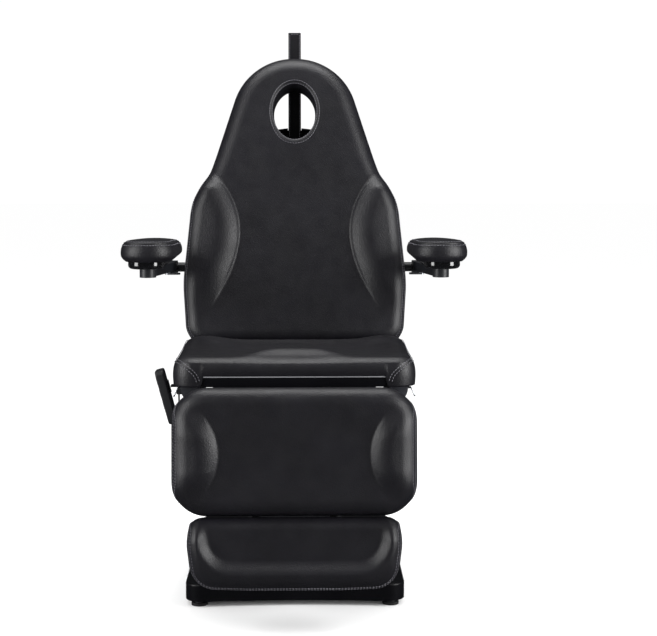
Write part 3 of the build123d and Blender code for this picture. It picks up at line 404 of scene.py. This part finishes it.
def hole_rows(outline, middle, face, lip, roll, hole_half):
    """Rows up the wall of an oval hole and over its rim, and each column's plan direction from the middle.
    The wall bows in by a sine of its height; the rim is a quarter circle with radius roll."""
    offset = outline - middle
    angle = np.arctan2(offset[:, 1] / hole_half[1], offset[:, 0] / hole_half[0])
    rim = np.stack([np.cos(angle), np.sin(angle)], axis=1)
    rows = []
    for share in np.linspace(0, 1, HOLE_WALL_ROWS):
        wall = np.array(hole_half) - HOLE_WALL_BOW * math.sin(math.pi * share)
        rows.append(level_row(middle + rim * wall, lip + (face - roll - lip) * share))
    for turn in np.linspace(0.1, 1, HOLE_RIM_ROWS) * math.pi / 2:
        size = np.array(hole_half) + roll * (1 - math.cos(turn))
        rows.append(level_row(middle + rim * size, face - roll * (1 - math.sin(turn))))
    return rows, rim


def border_rows(outline, face, height, edge, radius, seam_turn, seam_dip):
    """Rows round a cushion's border, down to the seam. The border is an arc: inset radius * (1 - sin turn),
    drop radius * (1 - cos turn), for turns up to seam_turn, with small gathers beside the seam."""
    inward = inward_normals(outline)
    waves = gathers(outline)
    rows = []
    for share in np.linspace(0, 1, BORDER_ROWS)[1:]:
        turn = seam_turn * share
        inset = radius * (1 - np.sin(turn)) + (edge - radius) * (1 - share)
        points = outline + inward * inset[:, None]
        pucker = PUCKER_DEPTH * waves * np.exp(-(radius * (seam_turn - turn) / PUCKER_REACH) ** 2)
        drop = radius * (1 - np.cos(turn)) + pucker
        rows.append(level_row(points, face + height(points[:, 0], points[:, 1]) - drop))
    rows[-1][:, :2] += inward * seam_dip
    rows[-1][:, 2] -= seam_dip
    return rows


def boxing_rows(outline, seam_level, radius, seam_turn, bulge, lip):
    """Rows down the boxing, from the seam to the lip. It swells out as a sine of the way down, except where
    the seam lies behind the edge: there it goes straight down at the seam's inset."""
    inward = inward_normals(outline)
    waves = gathers(outline)
    seam_inset = radius * (1 - np.sin(seam_turn))
    behind = np.clip((seam_turn - math.pi / 2) / 0.4, 0, 1)
    lip_inset = np.where(seam_turn > math.pi / 2, seam_inset, 0)
    rows = []
    for share in np.linspace(0.045, 1, BOXING_ROWS):
        pucker = PUCKER_DEPTH * (1 - waves) * math.exp(-(share / 0.2) ** 2)
        swell = bulge * (1 - behind) * math.sin(math.pi * share ** 0.8)
        inset = lip_inset + (seam_inset - lip_inset) * (1 - share) ** 2.4 - swell + pucker
        rows.append(level_row(outline + inward * inset[:, None], seam_level + (lip - seam_level) * share))
    return rows


def underside_rows(outline, inner, lip, pad):
    """Rows under the board's edge, back up to the pad's underside and in to the inner line."""
    inward = inward_normals(outline)
    under = outline + inward * (BOARD_LIP + 0.004)
    rows = [level_row(outline + inward * BOARD_LIP, lip)]
    rows.append(level_row(outline + inward * (BOARD_LIP + 0.0002), pad))
    for share in np.linspace(0, 1, UNDERSIDE_ROWS):
        rows.append(level_row(under + (inner - under) * share, pad))
    return rows


def cushion_grid(outline, middle, face, height, edge, radius, seam_turn, seam_dip, bulge, lip, pad, rings,
                 hole=None):
    """A sewn cushion as a grid of (row, column, xyz) and the numbers of its named rows. Rows run from the
    middle, or from the rim of the hole, out over the face, round the border to the seam, down the boxing,
    under the board's edge and back in. On the face a row is a share of the way from the middle to the
    border, at face + height(x, y)."""
    count = len(outline)
    radius = np.broadcast_to(radius, count)
    edge = np.broadcast_to(edge, count)
    seam_turn = np.broadcast_to(seam_turn, count)
    border = outline + inward_normals(outline) * edge[:, None]
    marks = {}
    if hole is None:
        rows = []
        start = middle + (border - middle) * POLE_SHARE
        under = outline + inward_normals(outline) * (BOARD_LIP + 0.004)
        inner = middle + (under - middle) * POLE_SHARE
    else:
        roll, hole_half = hole
        rows, rim = hole_rows(outline, middle, face, lip, roll, hole_half)
        marks["rim"] = len(rows) - 1
        start = middle + rim * (np.array(hole_half) + roll + 0.0015)
        inner = middle + rim * (np.array(hole_half) + 0.0035)
    for share in np.linspace(0, 1, rings):
        points = start + (border - start) * share
        rows.append(level_row(points, face + height(points[:, 0], points[:, 1])))
    rows += border_rows(outline, face, height, edge, radius, seam_turn, seam_dip)
    marks["seam"] = len(rows) - 1
    marks["face_stitch"] = marks["seam"] - STITCH_FROM_SEAM / (radius * seam_turn / (BORDER_ROWS - 1))
    marks["box_stitch"] = np.full(count, marks["seam"] + BOX_STITCH_ROW)
    rows += boxing_rows(outline, rows[-1][:, 2], radius, seam_turn, bulge, lip)
    marks["lip"] = len(rows) - 1
    rows += underside_rows(outline, inner, lip, pad)
    if hole is not None:
        rows.append(level_row(inner, lip))
    return np.stack(rows), marks


def upholstered(name, world, body, node, closed_rows=False):
    """A cushion's grid as a leather mesh that stands for a CAD cushion; poles close it where its rows are
    open."""
    rows, count = world.shape[:2]
    vertices = world.reshape(-1, 3)
    faces = ring_quads(rows, count, closed_rows).tolist()
    if not closed_rows:
        column = np.arange(count)
        right = (column + 1) % count
        poles = np.array([world[0].mean(axis=0), world[-1].mean(axis=0)])
        first = len(vertices)
        last = (rows - 1) * count
        faces += np.stack([np.full(count, first), column, right], axis=1).tolist()
        faces += np.stack([np.full(count, first + 1), last + right, last + column], axis=1).tolist()
        vertices = np.concatenate([vertices, poles])
    piece = mesh_piece(name, vertices, faces, leather, body)
    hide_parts(node)
    return piece


STITCH_PITCH = 0.0078
STITCH_LENGTH = 0.0054
STITCH_RADIUS = 0.001
STITCH_PROUD = 0.35       # share of its radius that a stitch's middle line stands out
STITCH_SIDES = 6
STITCH_RINGS = 5


def stitches(name, runs, body):
    """Rows of thread stitches. Each stitch is a small capsule: rings whose radius follows a half ellipse
    along it, laid along the run and sunk by part of its radius. A run is (points, normals, closed)."""
    along = np.linspace(-0.5, 0.5, STITCH_RINGS)
    width = STITCH_RADIUS * np.sqrt(np.clip(1 - (along * 1.96) ** 2, 0.02, 1))
    turn = np.arange(STITCH_SIDES) * 2 * math.pi / STITCH_SIDES
    shapes = []
    for points, normals, closed in runs:
        if closed:
            points = np.concatenate([points, points[:1]])
            normals = np.concatenate([normals, normals[:1]])
        travel = np.concatenate([[0], np.cumsum(np.linalg.norm(np.diff(points, axis=0), axis=1))])
        number = max(2, int(travel[-1] / STITCH_PITCH))
        at = (np.arange(number) + 0.5) * travel[-1] / number

        def along_run(values, where):
            """Values of the run at distances along it."""
            return np.stack([np.interp(where, travel, values[:, k]) for k in range(3)], axis=1)

        tangent = along_run(points, at + 0.001) - along_run(points, at - 0.001)
        tangent /= np.linalg.norm(tangent, axis=1)[:, None]
        normal = along_run(normals, at)
        normal /= np.linalg.norm(normal, axis=1)[:, None]
        side = np.cross(tangent, normal)
        centre = along_run(points, at) + normal * STITCH_RADIUS * STITCH_PROUD
        out = width[:, None] * np.sin(turn)
        across = width[:, None] * np.cos(turn)
        capsule = (centre[:, None, None, :]
                   + tangent[:, None, None, :] * (along * STITCH_LENGTH)[:, None, None]
                   + side[:, None, None, :] * across[..., None]
                   + normal[:, None, None, :] * out[..., None])
        shapes.append(capsule.reshape(-1, STITCH_RINGS * STITCH_SIDES, 3))
    shapes = np.concatenate(shapes)
    one = ring_quads(STITCH_RINGS, STITCH_SIDES, False)[:, ::-1]
    block = STITCH_RINGS * STITCH_SIDES
    starts = (np.arange(len(shapes)) * block)[:, None, None]
    faces = (one[None] + starts).reshape(-1, 4).tolist()
    first_cap = np.arange(STITCH_SIDES)[::-1]
    last_cap = np.arange(STITCH_SIDES) + block - STITCH_SIDES
    faces += (np.stack([first_cap, last_cap])[None] + starts).reshape(-1, STITCH_SIDES).tolist()
    # The thread's grey colour is painted glints.
    return mesh_piece(name, shapes.reshape(-1, 3), faces, thread, body)


def surface_normals(world):
    """Unit normals of a grid of points, from the cross product of its row and column differences."""
    down = np.gradient(world, axis=0)
    right = np.roll(world, -1, axis=1) - np.roll(world, 1, axis=1)
    normal = np.cross(down, right)
    return normal / np.clip(np.linalg.norm(normal, axis=2), 1e-12, None)[..., None]


def row_path(world, rows, columns):
    """Points of a grid at fractional rows, one for each column number."""
    low = np.clip(np.floor(rows).astype(int), 0, world.shape[0] - 2)
    share = (rows - low)[:, None]
    return world[low, columns] * (1 - share) + world[low + 1, columns] * share


def seam_stitches(name, world, rows, body):
    """A closed row of stitches along each given line of a cushion's grid; a line has one row per column."""
    normals = surface_normals(world)
    columns = np.arange(world.shape[1])
    return stitches(name, [(row_path(world, row, columns), row_path(normals, row, columns), True)
                           for row in rows], body)


# ---------------------------------------------------------------- back cushion
# Corners of a cushion's outline: share of the half width, share of the length, radius of the corner.
BACK_SHAPE = [(0.972, 0, 0.062), (1.009, 0.213, 0.4), (0.942, 0.477, 0.16), (0.771, 0.597, 0.11),
              (0.431, 1, 0.185)]
BACK_HALF = 0.327
BACK_LENGTH = 0.872
BACK_BOTTOM = 0.014
HINGE_ROOM = 0.0012       # keeps the lower edge clear of the hinge lugs when the back is flat
BACK_FACE = 0.040
BACK_PAD = 0.075
BOARD = 0.012
SIDE_ROOM = 0.002         # between a cushion's outline and its CAD solid, at each side
LIP_ROOM = 0.0005         # between the lip and the underside of the board
HOLE_AT = np.array([0, 0.712])
HOLE_HALF = (0.064, 0.084)
HOLE_ROLL = 0.008
BOLSTER_FROM = 0.085      # along the back from its hinge
BOLSTER_TO = 0.540
BOLSTER_RISE = 0.026
BOLSTER_SLOPE = 0.075     # width of the slope from the hollow up to the bolster's crest
BOLSTER_INNER = 0.258     # the inner line's distance from the middle, at its ends
BOLSTER_BOW = 0.100       # how far it bows in
BOLSTER_FALL = 0.4
BACK_EDGE = 0.036         # radius of the border beside the bolsters
HEAD_EDGE = 0.048         # and round the head
SIDE_TURN = 0.95
HEAD_TURN = 2.0           # the seam lies behind the edge there


def back_place(points):
    """Points of the back's own plane, put at its hinge and tilted as at rest."""
    return tilted(points, BACK_HINGE, BACK_ANGLE)


def back_height(u, v):
    """Side bolsters: crescents that rise beyond an inner line, which bows in as a sine of the way along,
    and sink again towards the edge; with a shallow hollow down the middle and a low crown at the head."""
    way = np.clip((v - BOLSTER_FROM) / (BOLSTER_TO - BOLSTER_FROM), 0, 1)
    bow = np.sin(math.pi * way ** 1.25) ** 0.75
    beyond = np.abs(u) - (BOLSTER_INNER - BOLSTER_BOW * bow)
    ends = step(way / 0.34) * step((1 - way) / 0.16)
    crest = slope(beyond / BOLSTER_SLOPE)
    fall = 1 - BOLSTER_FALL * step((beyond - 0.8 * BOLSTER_SLOPE) / 0.10)
    hollow = -0.004 * np.exp(-(u / 0.13) ** 2) * step((v - 0.03) / 0.2) * step((0.62 - v) / 0.15)
    crown = 0.005 * np.exp(-(u / 0.15) ** 2) * step((v - 0.58) / 0.2)
    return BOLSTER_RISE * crest * fall * ends + hollow + crown


back_outline = rounded_outline(BACK_SHAPE, BACK_HALF - SIDE_ROOM, BACK_LENGTH - HINGE_ROOM,
                               BACK_BOTTOM + HINGE_ROOM, 440)
head_share = step((back_outline[:, 1] - 0.46) / 0.14)
above_hinge = step((back_outline[:, 1] - 0.03) / 0.05)
back_radius = BACK_EDGE + (HEAD_EDGE - BACK_EDGE) * head_share
back_turns = seam_turns(back_outline, SIDE_TURN, 1.08, HEAD_TURN)
back_grid, back_marks = cushion_grid(
    back_outline, HOLE_AT, BACK_FACE, back_height, edge=back_radius + 0.004, radius=back_radius,
    seam_turn=back_turns + (HEAD_TURN - back_turns) * head_share, seam_dip=0.0018,
    bulge=0.003 * above_hinge, lip=BACK_FACE - BACK_PAD - BOARD + LIP_ROOM, pad=BACK_FACE - BACK_PAD,
    rings=110, hole=(HOLE_ROLL, HOLE_HALF))
back_world = back_place(back_grid)
upholstered("back_upholstery", back_world, "back", "back_cushion", closed_rows=True)
seam_stitches("back_seam_thread", back_world, [back_marks["face_stitch"], back_marks["box_stitch"]], "back")
rim_row = np.full(len(back_outline), back_marks["rim"])
seam_stitches("hole_rim_thread", back_world, [rim_row - 5, rim_row + 2], "back")


# ---------------------------------------------------------------- seat cushion
seat_low, seat_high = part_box("seat_cushion")
board_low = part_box("seat_board")[0]
SEAT_HALF = (seat_high.x - seat_low.x) / 2
SEAT_DEPTH = seat_high.y - seat_low.y
seat_middle = np.array([0, (seat_low.y + seat_high.y) / 2])
NOTCH_HALF = 0.239        # the notch that the apron fills
NOTCH_LEVEL = 0.654
RIDGE_RISE = 0.004        # of the front ridge
POMMEL_RISE = 0.017       # more in its middle
RIDGE_BACK = 0.035        # how far the ridge's crest lies behind the front
POMMEL_BACK = 0.042       # and further back in its middle
RIDGE_HALF = 0.034
CORNER_RISE = 0.012
SEAT_HOLLOW = 0.010


def seat_height(u, v):
    """A pommel ridge along the front edge, high in the middle, raised rear corners and a shallow hollow; each
    is a bell curve or a flatter one with a fourth or sixth power."""
    from_front = v - seat_low.y
    from_rear = seat_high.y - v
    side = np.abs(u)
    ridge_at = RIDGE_BACK + POMMEL_BACK * np.exp(-(u / 0.13) ** 4)
    rise = RIDGE_RISE + POMMEL_RISE * np.exp(-(u / 0.115) ** 4)
    ridge = rise * np.exp(-((from_front - ridge_at) / RIDGE_HALF) ** 2)
    corners = CORNER_RISE * np.exp(-((side - 0.250) / 0.060) ** 2 - ((from_rear - 0.060) / 0.06) ** 2)
    hollow = -SEAT_HOLLOW * np.exp(-(u / 0.21) ** 6 - ((from_front - 0.27) / 0.15) ** 6)
    return ridge + corners + hollow


def sewn_groove(world, path, depth, width):
    """Pulls a grid in along a seam: each point sinks against its normal by a bell curve of its distance
    from the path. The path is taken in short stretches to save memory."""
    normals = surface_normals(world)
    near = np.full(world.shape[:2], 1.0)
    for start in range(0, len(path), 16):
        gap = np.linalg.norm(world[:, :, None, :] - path[None, None, start:start + 16], axis=3)
        near = np.minimum(near, gap.min(axis=2))
    return world - normals * (depth * np.exp(-(near / width) ** 2))[..., None]


SEAT_CORNERS = [(1, 0, 0.055), (1, 1, 0.05)]
seat_outline = rounded_outline(SEAT_CORNERS, SEAT_HALF - SIDE_ROOM, SEAT_DEPTH, seat_low.y, 480)
front_share = step((seat_low.y + 0.05 - seat_outline[:, 1]) / 0.05)
inside_notch = step((NOTCH_HALF + 0.005 - np.abs(seat_outline[:, 0])) / 0.008)
seat_lip = board_low.z + (NOTCH_LEVEL - board_low.z) * front_share * inside_notch
seat_world, seat_marks = cushion_grid(
    seat_outline, seat_middle, seat_high.z, seat_height, edge=0.034, radius=0.027, seam_turn=0.9,
    seam_dip=0.0, bulge=0.0025, lip=seat_lip, pad=seat_low.z, rings=64)

# The side seams run along the top edge, then turn down and in over the front corners to the apron's ends.
SEAM_FOOT = 0.249         # distance from the middle, at the apron
SEAM_SHOULDER = 0.306     # and where it reaches the top edge
SEAM_GROOVE = (0.0026, 0.0028)   # depth and width
TWIN_STITCH = 0.004       # each row of stitches from the seam
columns = np.arange(len(seat_outline) // 2)
on_seam = (seat_outline[columns, 0] > SEAM_FOOT) & (seat_outline[columns, 1] < seat_high.y - 0.02)
right_half = columns[on_seam]
seam_x = seat_outline[right_half, 0]
at_front = seat_outline[right_half, 1] < seat_low.y + 0.055
fallen = np.clip((seam_x - SEAM_FOOT) / (SEAM_SHOULDER - SEAM_FOOT), 0, 1) ** 0.4
fallen = np.where(at_front, fallen, 1)
seam_rows = seat_marks["seam"] + (1 - fallen) * (seat_marks["lip"] - 1 - seat_marks["seam"])
seam_runs = []
for mirror in (1, -1):
    columns = mirror * right_half % len(seat_outline)
    seam_path = row_path(seat_world, seam_rows, columns)
    seam_normals = row_path(surface_normals(seat_world), seam_rows, columns)
    tangent = np.gradient(seam_path, axis=0)
    tangent /= np.linalg.norm(tangent, axis=1)[:, None]
    aside = np.cross(seam_normals, tangent)
    for offset in (-TWIN_STITCH, TWIN_STITCH):
        seam_runs.append((seam_path + aside * offset, seam_normals, False))
    seat_world = sewn_groove(seat_world, seam_path, *SEAM_GROOVE)
upholstered("seat_upholstery", seat_world, "lift", "seat_cushion")
stitches("seat_seam_thread", seam_runs, "lift")


# ---------------------------------------------------------------- leg cushion
LEG_HALF = 0.315
LEG_LENGTH = 0.316
LEG_START = 0.010         # past the hinge towards the seat
LEG_FACE = 0.088
LEG_PAD = 0.062
LEG_EDGE = 0.040
LEG_CORNERS = [(1, 0, 0.09), (1, 1, 0.09)]
ROLL_RISE = 0.021
ROLL_INNER = 0.191        # the rolls' inner line from the middle, at its middle
ROLL_BOW = 0.085          # and how much further out its ends lie
ROLL_SLOPE = 0.060
ROLL_FALL = 0.5


def leg_place(points):
    """Points of the leg's own plane, put at its hinge and hanging as at rest."""
    return tilted(points, LEG_HINGE, LEG_ANGLE)


def leg_height(u, v):
    """Side rolls: beyond an inner line that bows in as a parabola the pad rises, then sinks to the edge; with
    a shallow hollow between them and a dip in the top edge."""
    along = (v - (LEG_START - LEG_LENGTH / 2)) / (LEG_LENGTH / 2)
    beyond = np.abs(u) - (ROLL_INNER + ROLL_BOW * along ** 2)
    ends = step((0.80 - np.abs(along)) / 0.55)
    crest = slope(beyond / ROLL_SLOPE)
    fall = 1 - ROLL_FALL * step((beyond - 0.042) / 0.075)
    hollow = -0.004 * np.exp(-(u / 0.19) ** 4 - (along / 0.75) ** 4)
    top_dip = -0.003 * np.exp(-((u + 0.02) / 0.05) ** 2 - ((along - 0.95) / 0.12) ** 2)
    return ROLL_RISE * crest * fall * ends + hollow + top_dip


LEG_ROLL_TOP = 0.012      # how far the stuffed roll swells past the board at the seat's end
LEG_ROLL_FOOT = 0.0015    # and at the foot's end
LEG_LIP = LEG_FACE - LEG_PAD - BOARD + LIP_ROOM
leg_outline = rounded_outline(LEG_CORNERS, LEG_HALF - SIDE_ROOM, LEG_LENGTH + LEG_ROLL_TOP + LEG_ROLL_FOOT,
                              LEG_START - LEG_LENGTH - LEG_ROLL_FOOT, 400)
leg_grid, leg_marks = cushion_grid(
    leg_outline, np.array([0, LEG_START - LEG_LENGTH / 2]), LEG_FACE, leg_height, edge=LEG_EDGE + 0.004,
    radius=LEG_EDGE, seam_turn=seam_turns(leg_outline, 0.89, 2.05, 2.05), seam_dip=0.0018, bulge=0.003,
    lip=LEG_LIP, pad=LEG_FACE - LEG_PAD, rings=60)
leg_world = leg_place(leg_grid)
leg_pieces = [
    upholstered("leg_upholstery", leg_world, "leg", "leg_cushion"),
    seam_stitches("leg_seam_thread", leg_world, [leg_marks["face_stitch"], leg_marks["box_stitch"]], "leg"),
]
# Each leg piece gets a mesh of its own.
for piece in leg_pieces:
    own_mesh(piece)


# ---------------------------------------------------------------- foot cushion
FOOT_SHAPE = [(0.44, 0, 0.4), (0.953, 0.027, 0.068), (1.007, 0.66, 0.15), (0.965, 1, 0.034)]
FOOT_HALF = 0.275
FOOT_LENGTH = 0.183
FOOT_GAP = 0.004          # between the two boards
FOOT_ROLL_TOP = 0.0015    # how far the roll swells past the board towards the leg
FOOT_EDGE = 0.030
RECESS_HALF = 0.226
RECESS_LENGTH = 0.116
RECESS_CORNER = 0.070
FOOT_RISE = 0.019
foot_start = LEG_START - LEG_LENGTH - FOOT_GAP - FOOT_LENGTH


def foot_height(u, v):
    """A raised roll round the sides and the lower edge of a flat recess. The distance from the recess is
    that from a box with rounded lower corners, open at the top."""
    top = foot_start + FOOT_LENGTH
    down = np.clip((top - RECESS_LENGTH + RECESS_CORNER) - v, 0, None)
    side = np.clip(np.abs(u) - (RECESS_HALF - RECESS_CORNER), 0, None)
    outside = np.hypot(side, down) - RECESS_CORNER
    crest = step((outside + 0.012) / 0.036)
    fall = 1 - 0.6 * step((outside - 0.022) / 0.045)
    fade = step((top - v - 0.004) / 0.055)
    return FOOT_RISE * crest * fall * fade - 0.002


foot_outline = rounded_outline(FOOT_SHAPE, FOOT_HALF - SIDE_ROOM, FOOT_LENGTH + FOOT_ROLL_TOP,
                               foot_start, 360)
foot_grid, foot_marks = cushion_grid(
    foot_outline, np.array([0, foot_start + FOOT_LENGTH / 2]), LEG_FACE, foot_height, edge=FOOT_EDGE + 0.001,
    radius=FOOT_EDGE, seam_turn=seam_turns(foot_outline, 0.85, 1.0, 2.1), seam_dip=0.0016, bulge=0.003,
    lip=LEG_LIP, pad=LEG_FACE - LEG_PAD, rings=50)
foot_world = leg_place(foot_grid)
upholstered("foot_upholstery", foot_world, "foot", "foot_cushion")
seam_stitches("foot_seam_thread", foot_world, [foot_marks["face_stitch"], foot_marks["box_stitch"]], "foot")


# ---------------------------------------------------------------- armrest cushions
ARM_SIDE_ROOM = 0.012     # the pad's outline inside its CAD solid, at each side
ARM_END_ROOM = 0.007
ARM_CROWN = 0.007
ARM_SLOPE = 0.011         # how much lower the rear end is
ARM_TUCK = 0.010          # how far the boxing turns in at the bottom
ARM_TUCK_ROWS = 6
ARM_ROUND = 0.97          # corner radius as a share of the half width


def armrest(side):
    """A drum-sided pad: a low crowned top inside a seam ring, and tall boxing that swells out and turns in
    at the bottom over the plastic pan. The crown is 1 - x^2 - y^4, less a slope towards the rear."""
    node = "arm_cushion_" + side
    low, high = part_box(node)
    middle = np.array([(low.x + high.x) / 2, (low.y + high.y) / 2])
    half = (high.x - low.x) / 2 - ARM_SIDE_ROOM
    length = high.y - low.y - 2 * ARM_END_ROOM
    corners = [(1, 0, half * ARM_ROUND), (1, 1, half * ARM_ROUND)]
    outline = rounded_outline(corners, half, length, low.y + ARM_END_ROOM, 280)
    outline = outline + (middle[0], 0)

    def crown(u, v):
        """Level of the top at plan points."""
        across = (u - middle[0]) / half
        along = (v - middle[1]) / (length / 2)
        return ARM_CROWN * (1 - np.clip(across ** 2 + along ** 4, 0, 1)) - ARM_SLOPE * step((along + 1) / 2)

    grid, marks = cushion_grid(outline, middle, high.z - ARM_CROWN, crown, edge=0.024, radius=0.013,
                               seam_turn=0.75, seam_dip=0.0014, bulge=0.004, lip=low.z + 0.0004,
                               pad=low.z + 0.0006, rings=26)
    inward = inward_normals(outline)
    lip_row = marks["lip"]
    tuck = np.linspace(0, 1, ARM_TUCK_ROWS) ** 2 * ARM_TUCK
    grid[lip_row + 1 - ARM_TUCK_ROWS:lip_row + 1, :, :2] += inward[None] * tuck[:, None, None]
    grid[lip_row + 1, :, :2] = grid[lip_row, :, :2] + inward * 0.001
    grid[lip_row + 2, :, :2] = grid[lip_row, :, :2] + inward * 0.002
    upholstered("armrest_pad_" + side, grid, "armrest_" + side, node)
    seam_stitches("armrest_thread_" + side, grid, [marks["face_stitch"], marks["box_stitch"]],
                  "armrest_" + side)


armrest("left")
armrest("right")


# ---------------------------------------------------------------- stitched leather on the headrest bar
BAR_STITCH_SIDE = 0.0152  # from the bar's middle line
BAR_STITCH_TOP = 0.981    # along the back from its hinge
BAR_STITCH_BOTTOM = 0.56
BAR_FRONT = -0.0513       # levels of the bar's faces in the back's own plane
BAR_REAR = -0.0673


def bar_row(start, end, level, count):
    """A straight run of stitch points from start to end on one face of the bar."""
    plan = np.linspace(start, end, count)
    return back_place(np.column_stack([plan, np.full(count, level)]))


def bar_stitches():
    """Two long rows and a row across the top, on the front and on the back of the leather-covered bar."""
    side = BAR_STITCH_SIDE
    inner = side - 0.003
    runs = []
    for level, sign in ((BAR_FRONT, 1), (BAR_REAR, -1)):
        normal = back_place(np.array([[0, 0, sign]])) - back_place(np.array([[0, 0, 0]]))
        for x in (-side, side):
            points = bar_row((x, BAR_STITCH_BOTTOM), (x, BAR_STITCH_TOP), level, 60)
            runs.append((points, np.repeat(normal, 60, axis=0), False))
        points = bar_row((-inner, BAR_STITCH_TOP), (inner, BAR_STITCH_TOP), level, 12)
        runs.append((points, np.repeat(normal, 12, axis=0), False))
    return stitches("bar_thread", runs, "headrest_post")


bar_stitches()


# ---------------------------------------------------------------- floor, light
def flat_stage(name, size, place, colour):
    """A plain square for the floor, which isn't part of the object."""
    mesh = bpy.data.meshes.new(name)
    corners = [(-size, -size, 0), (size, -size, 0), (size, size, 0), (-size, size, 0)]
    mesh.from_pydata(corners, [], [(0, 1, 2, 3)])
    material, tree = start_material(name + "_paint")[:2]
    finish_material(tree, add(tree, "ShaderNodeBsdfDiffuse", {"Color": linear(colour)}))
    mesh.materials.append(material)
    piece = bpy.data.objects.new(name, mesh)
    piece.location = place
    bpy.context.scene.collection.objects.link(piece)
    piece.visible_glossy = False


def softbox(name, place, target, size, power):
    """A large rectangular area light aimed at a point."""
    data = bpy.data.lights.new(name, "AREA")
    data.shape = "RECTANGLE"
    data.size, data.size_y = size
    data.energy = power
    light = bpy.data.objects.new(name, data)
    light.location = place
    light.rotation_euler = (light.location - Vector(target)).to_track_quat("Z", "Y").to_euler()
    bpy.context.scene.collection.objects.link(light)


flat_stage("floor", 30, (0, 0, 0), "#fbfbfb")
softbox("left_softbox", (-2.7, -1.5, 1.5), (0, 0, 0.8), (1.2, 2.4), 76)
softbox("right_softbox", (2.7, -1.5, 1.5), (0, 0, 0.8), (1.2, 2.4), 104)
softbox("top_softbox", (0, 0.2, 3.4), (0, 0, 0.6), (2.6, 1.2), 62)

# The room is white all round, but what shines on the leather is a dim room with the three softboxes in it.
world = bpy.data.worlds.new("studio")
world.use_nodes = True
world_tree = world.node_tree
world_tree.nodes.clear()
ray = add(world_tree, "ShaderNodeLightPath")
backdrop = add(world_tree, "ShaderNodeBackground", {"Color": linear("#ffffff"), "Strength": 1.03})
room = add(world_tree, "ShaderNodeBackground", {"Color": linear("#eef1f6"), "Strength": 0.045})
mixed = add(world_tree, "ShaderNodeMixShader",
            links={0: (ray, "Is Glossy Ray"), 1: (backdrop, 0), 2: (room, 0)})
add(world_tree, "ShaderNodeOutputWorld", links={"Surface": (mixed, 0)})
bpy.context.scene.world = world
bpy.context.scene.view_settings.view_transform = "Standard"

bpy.context.view_layer.update()
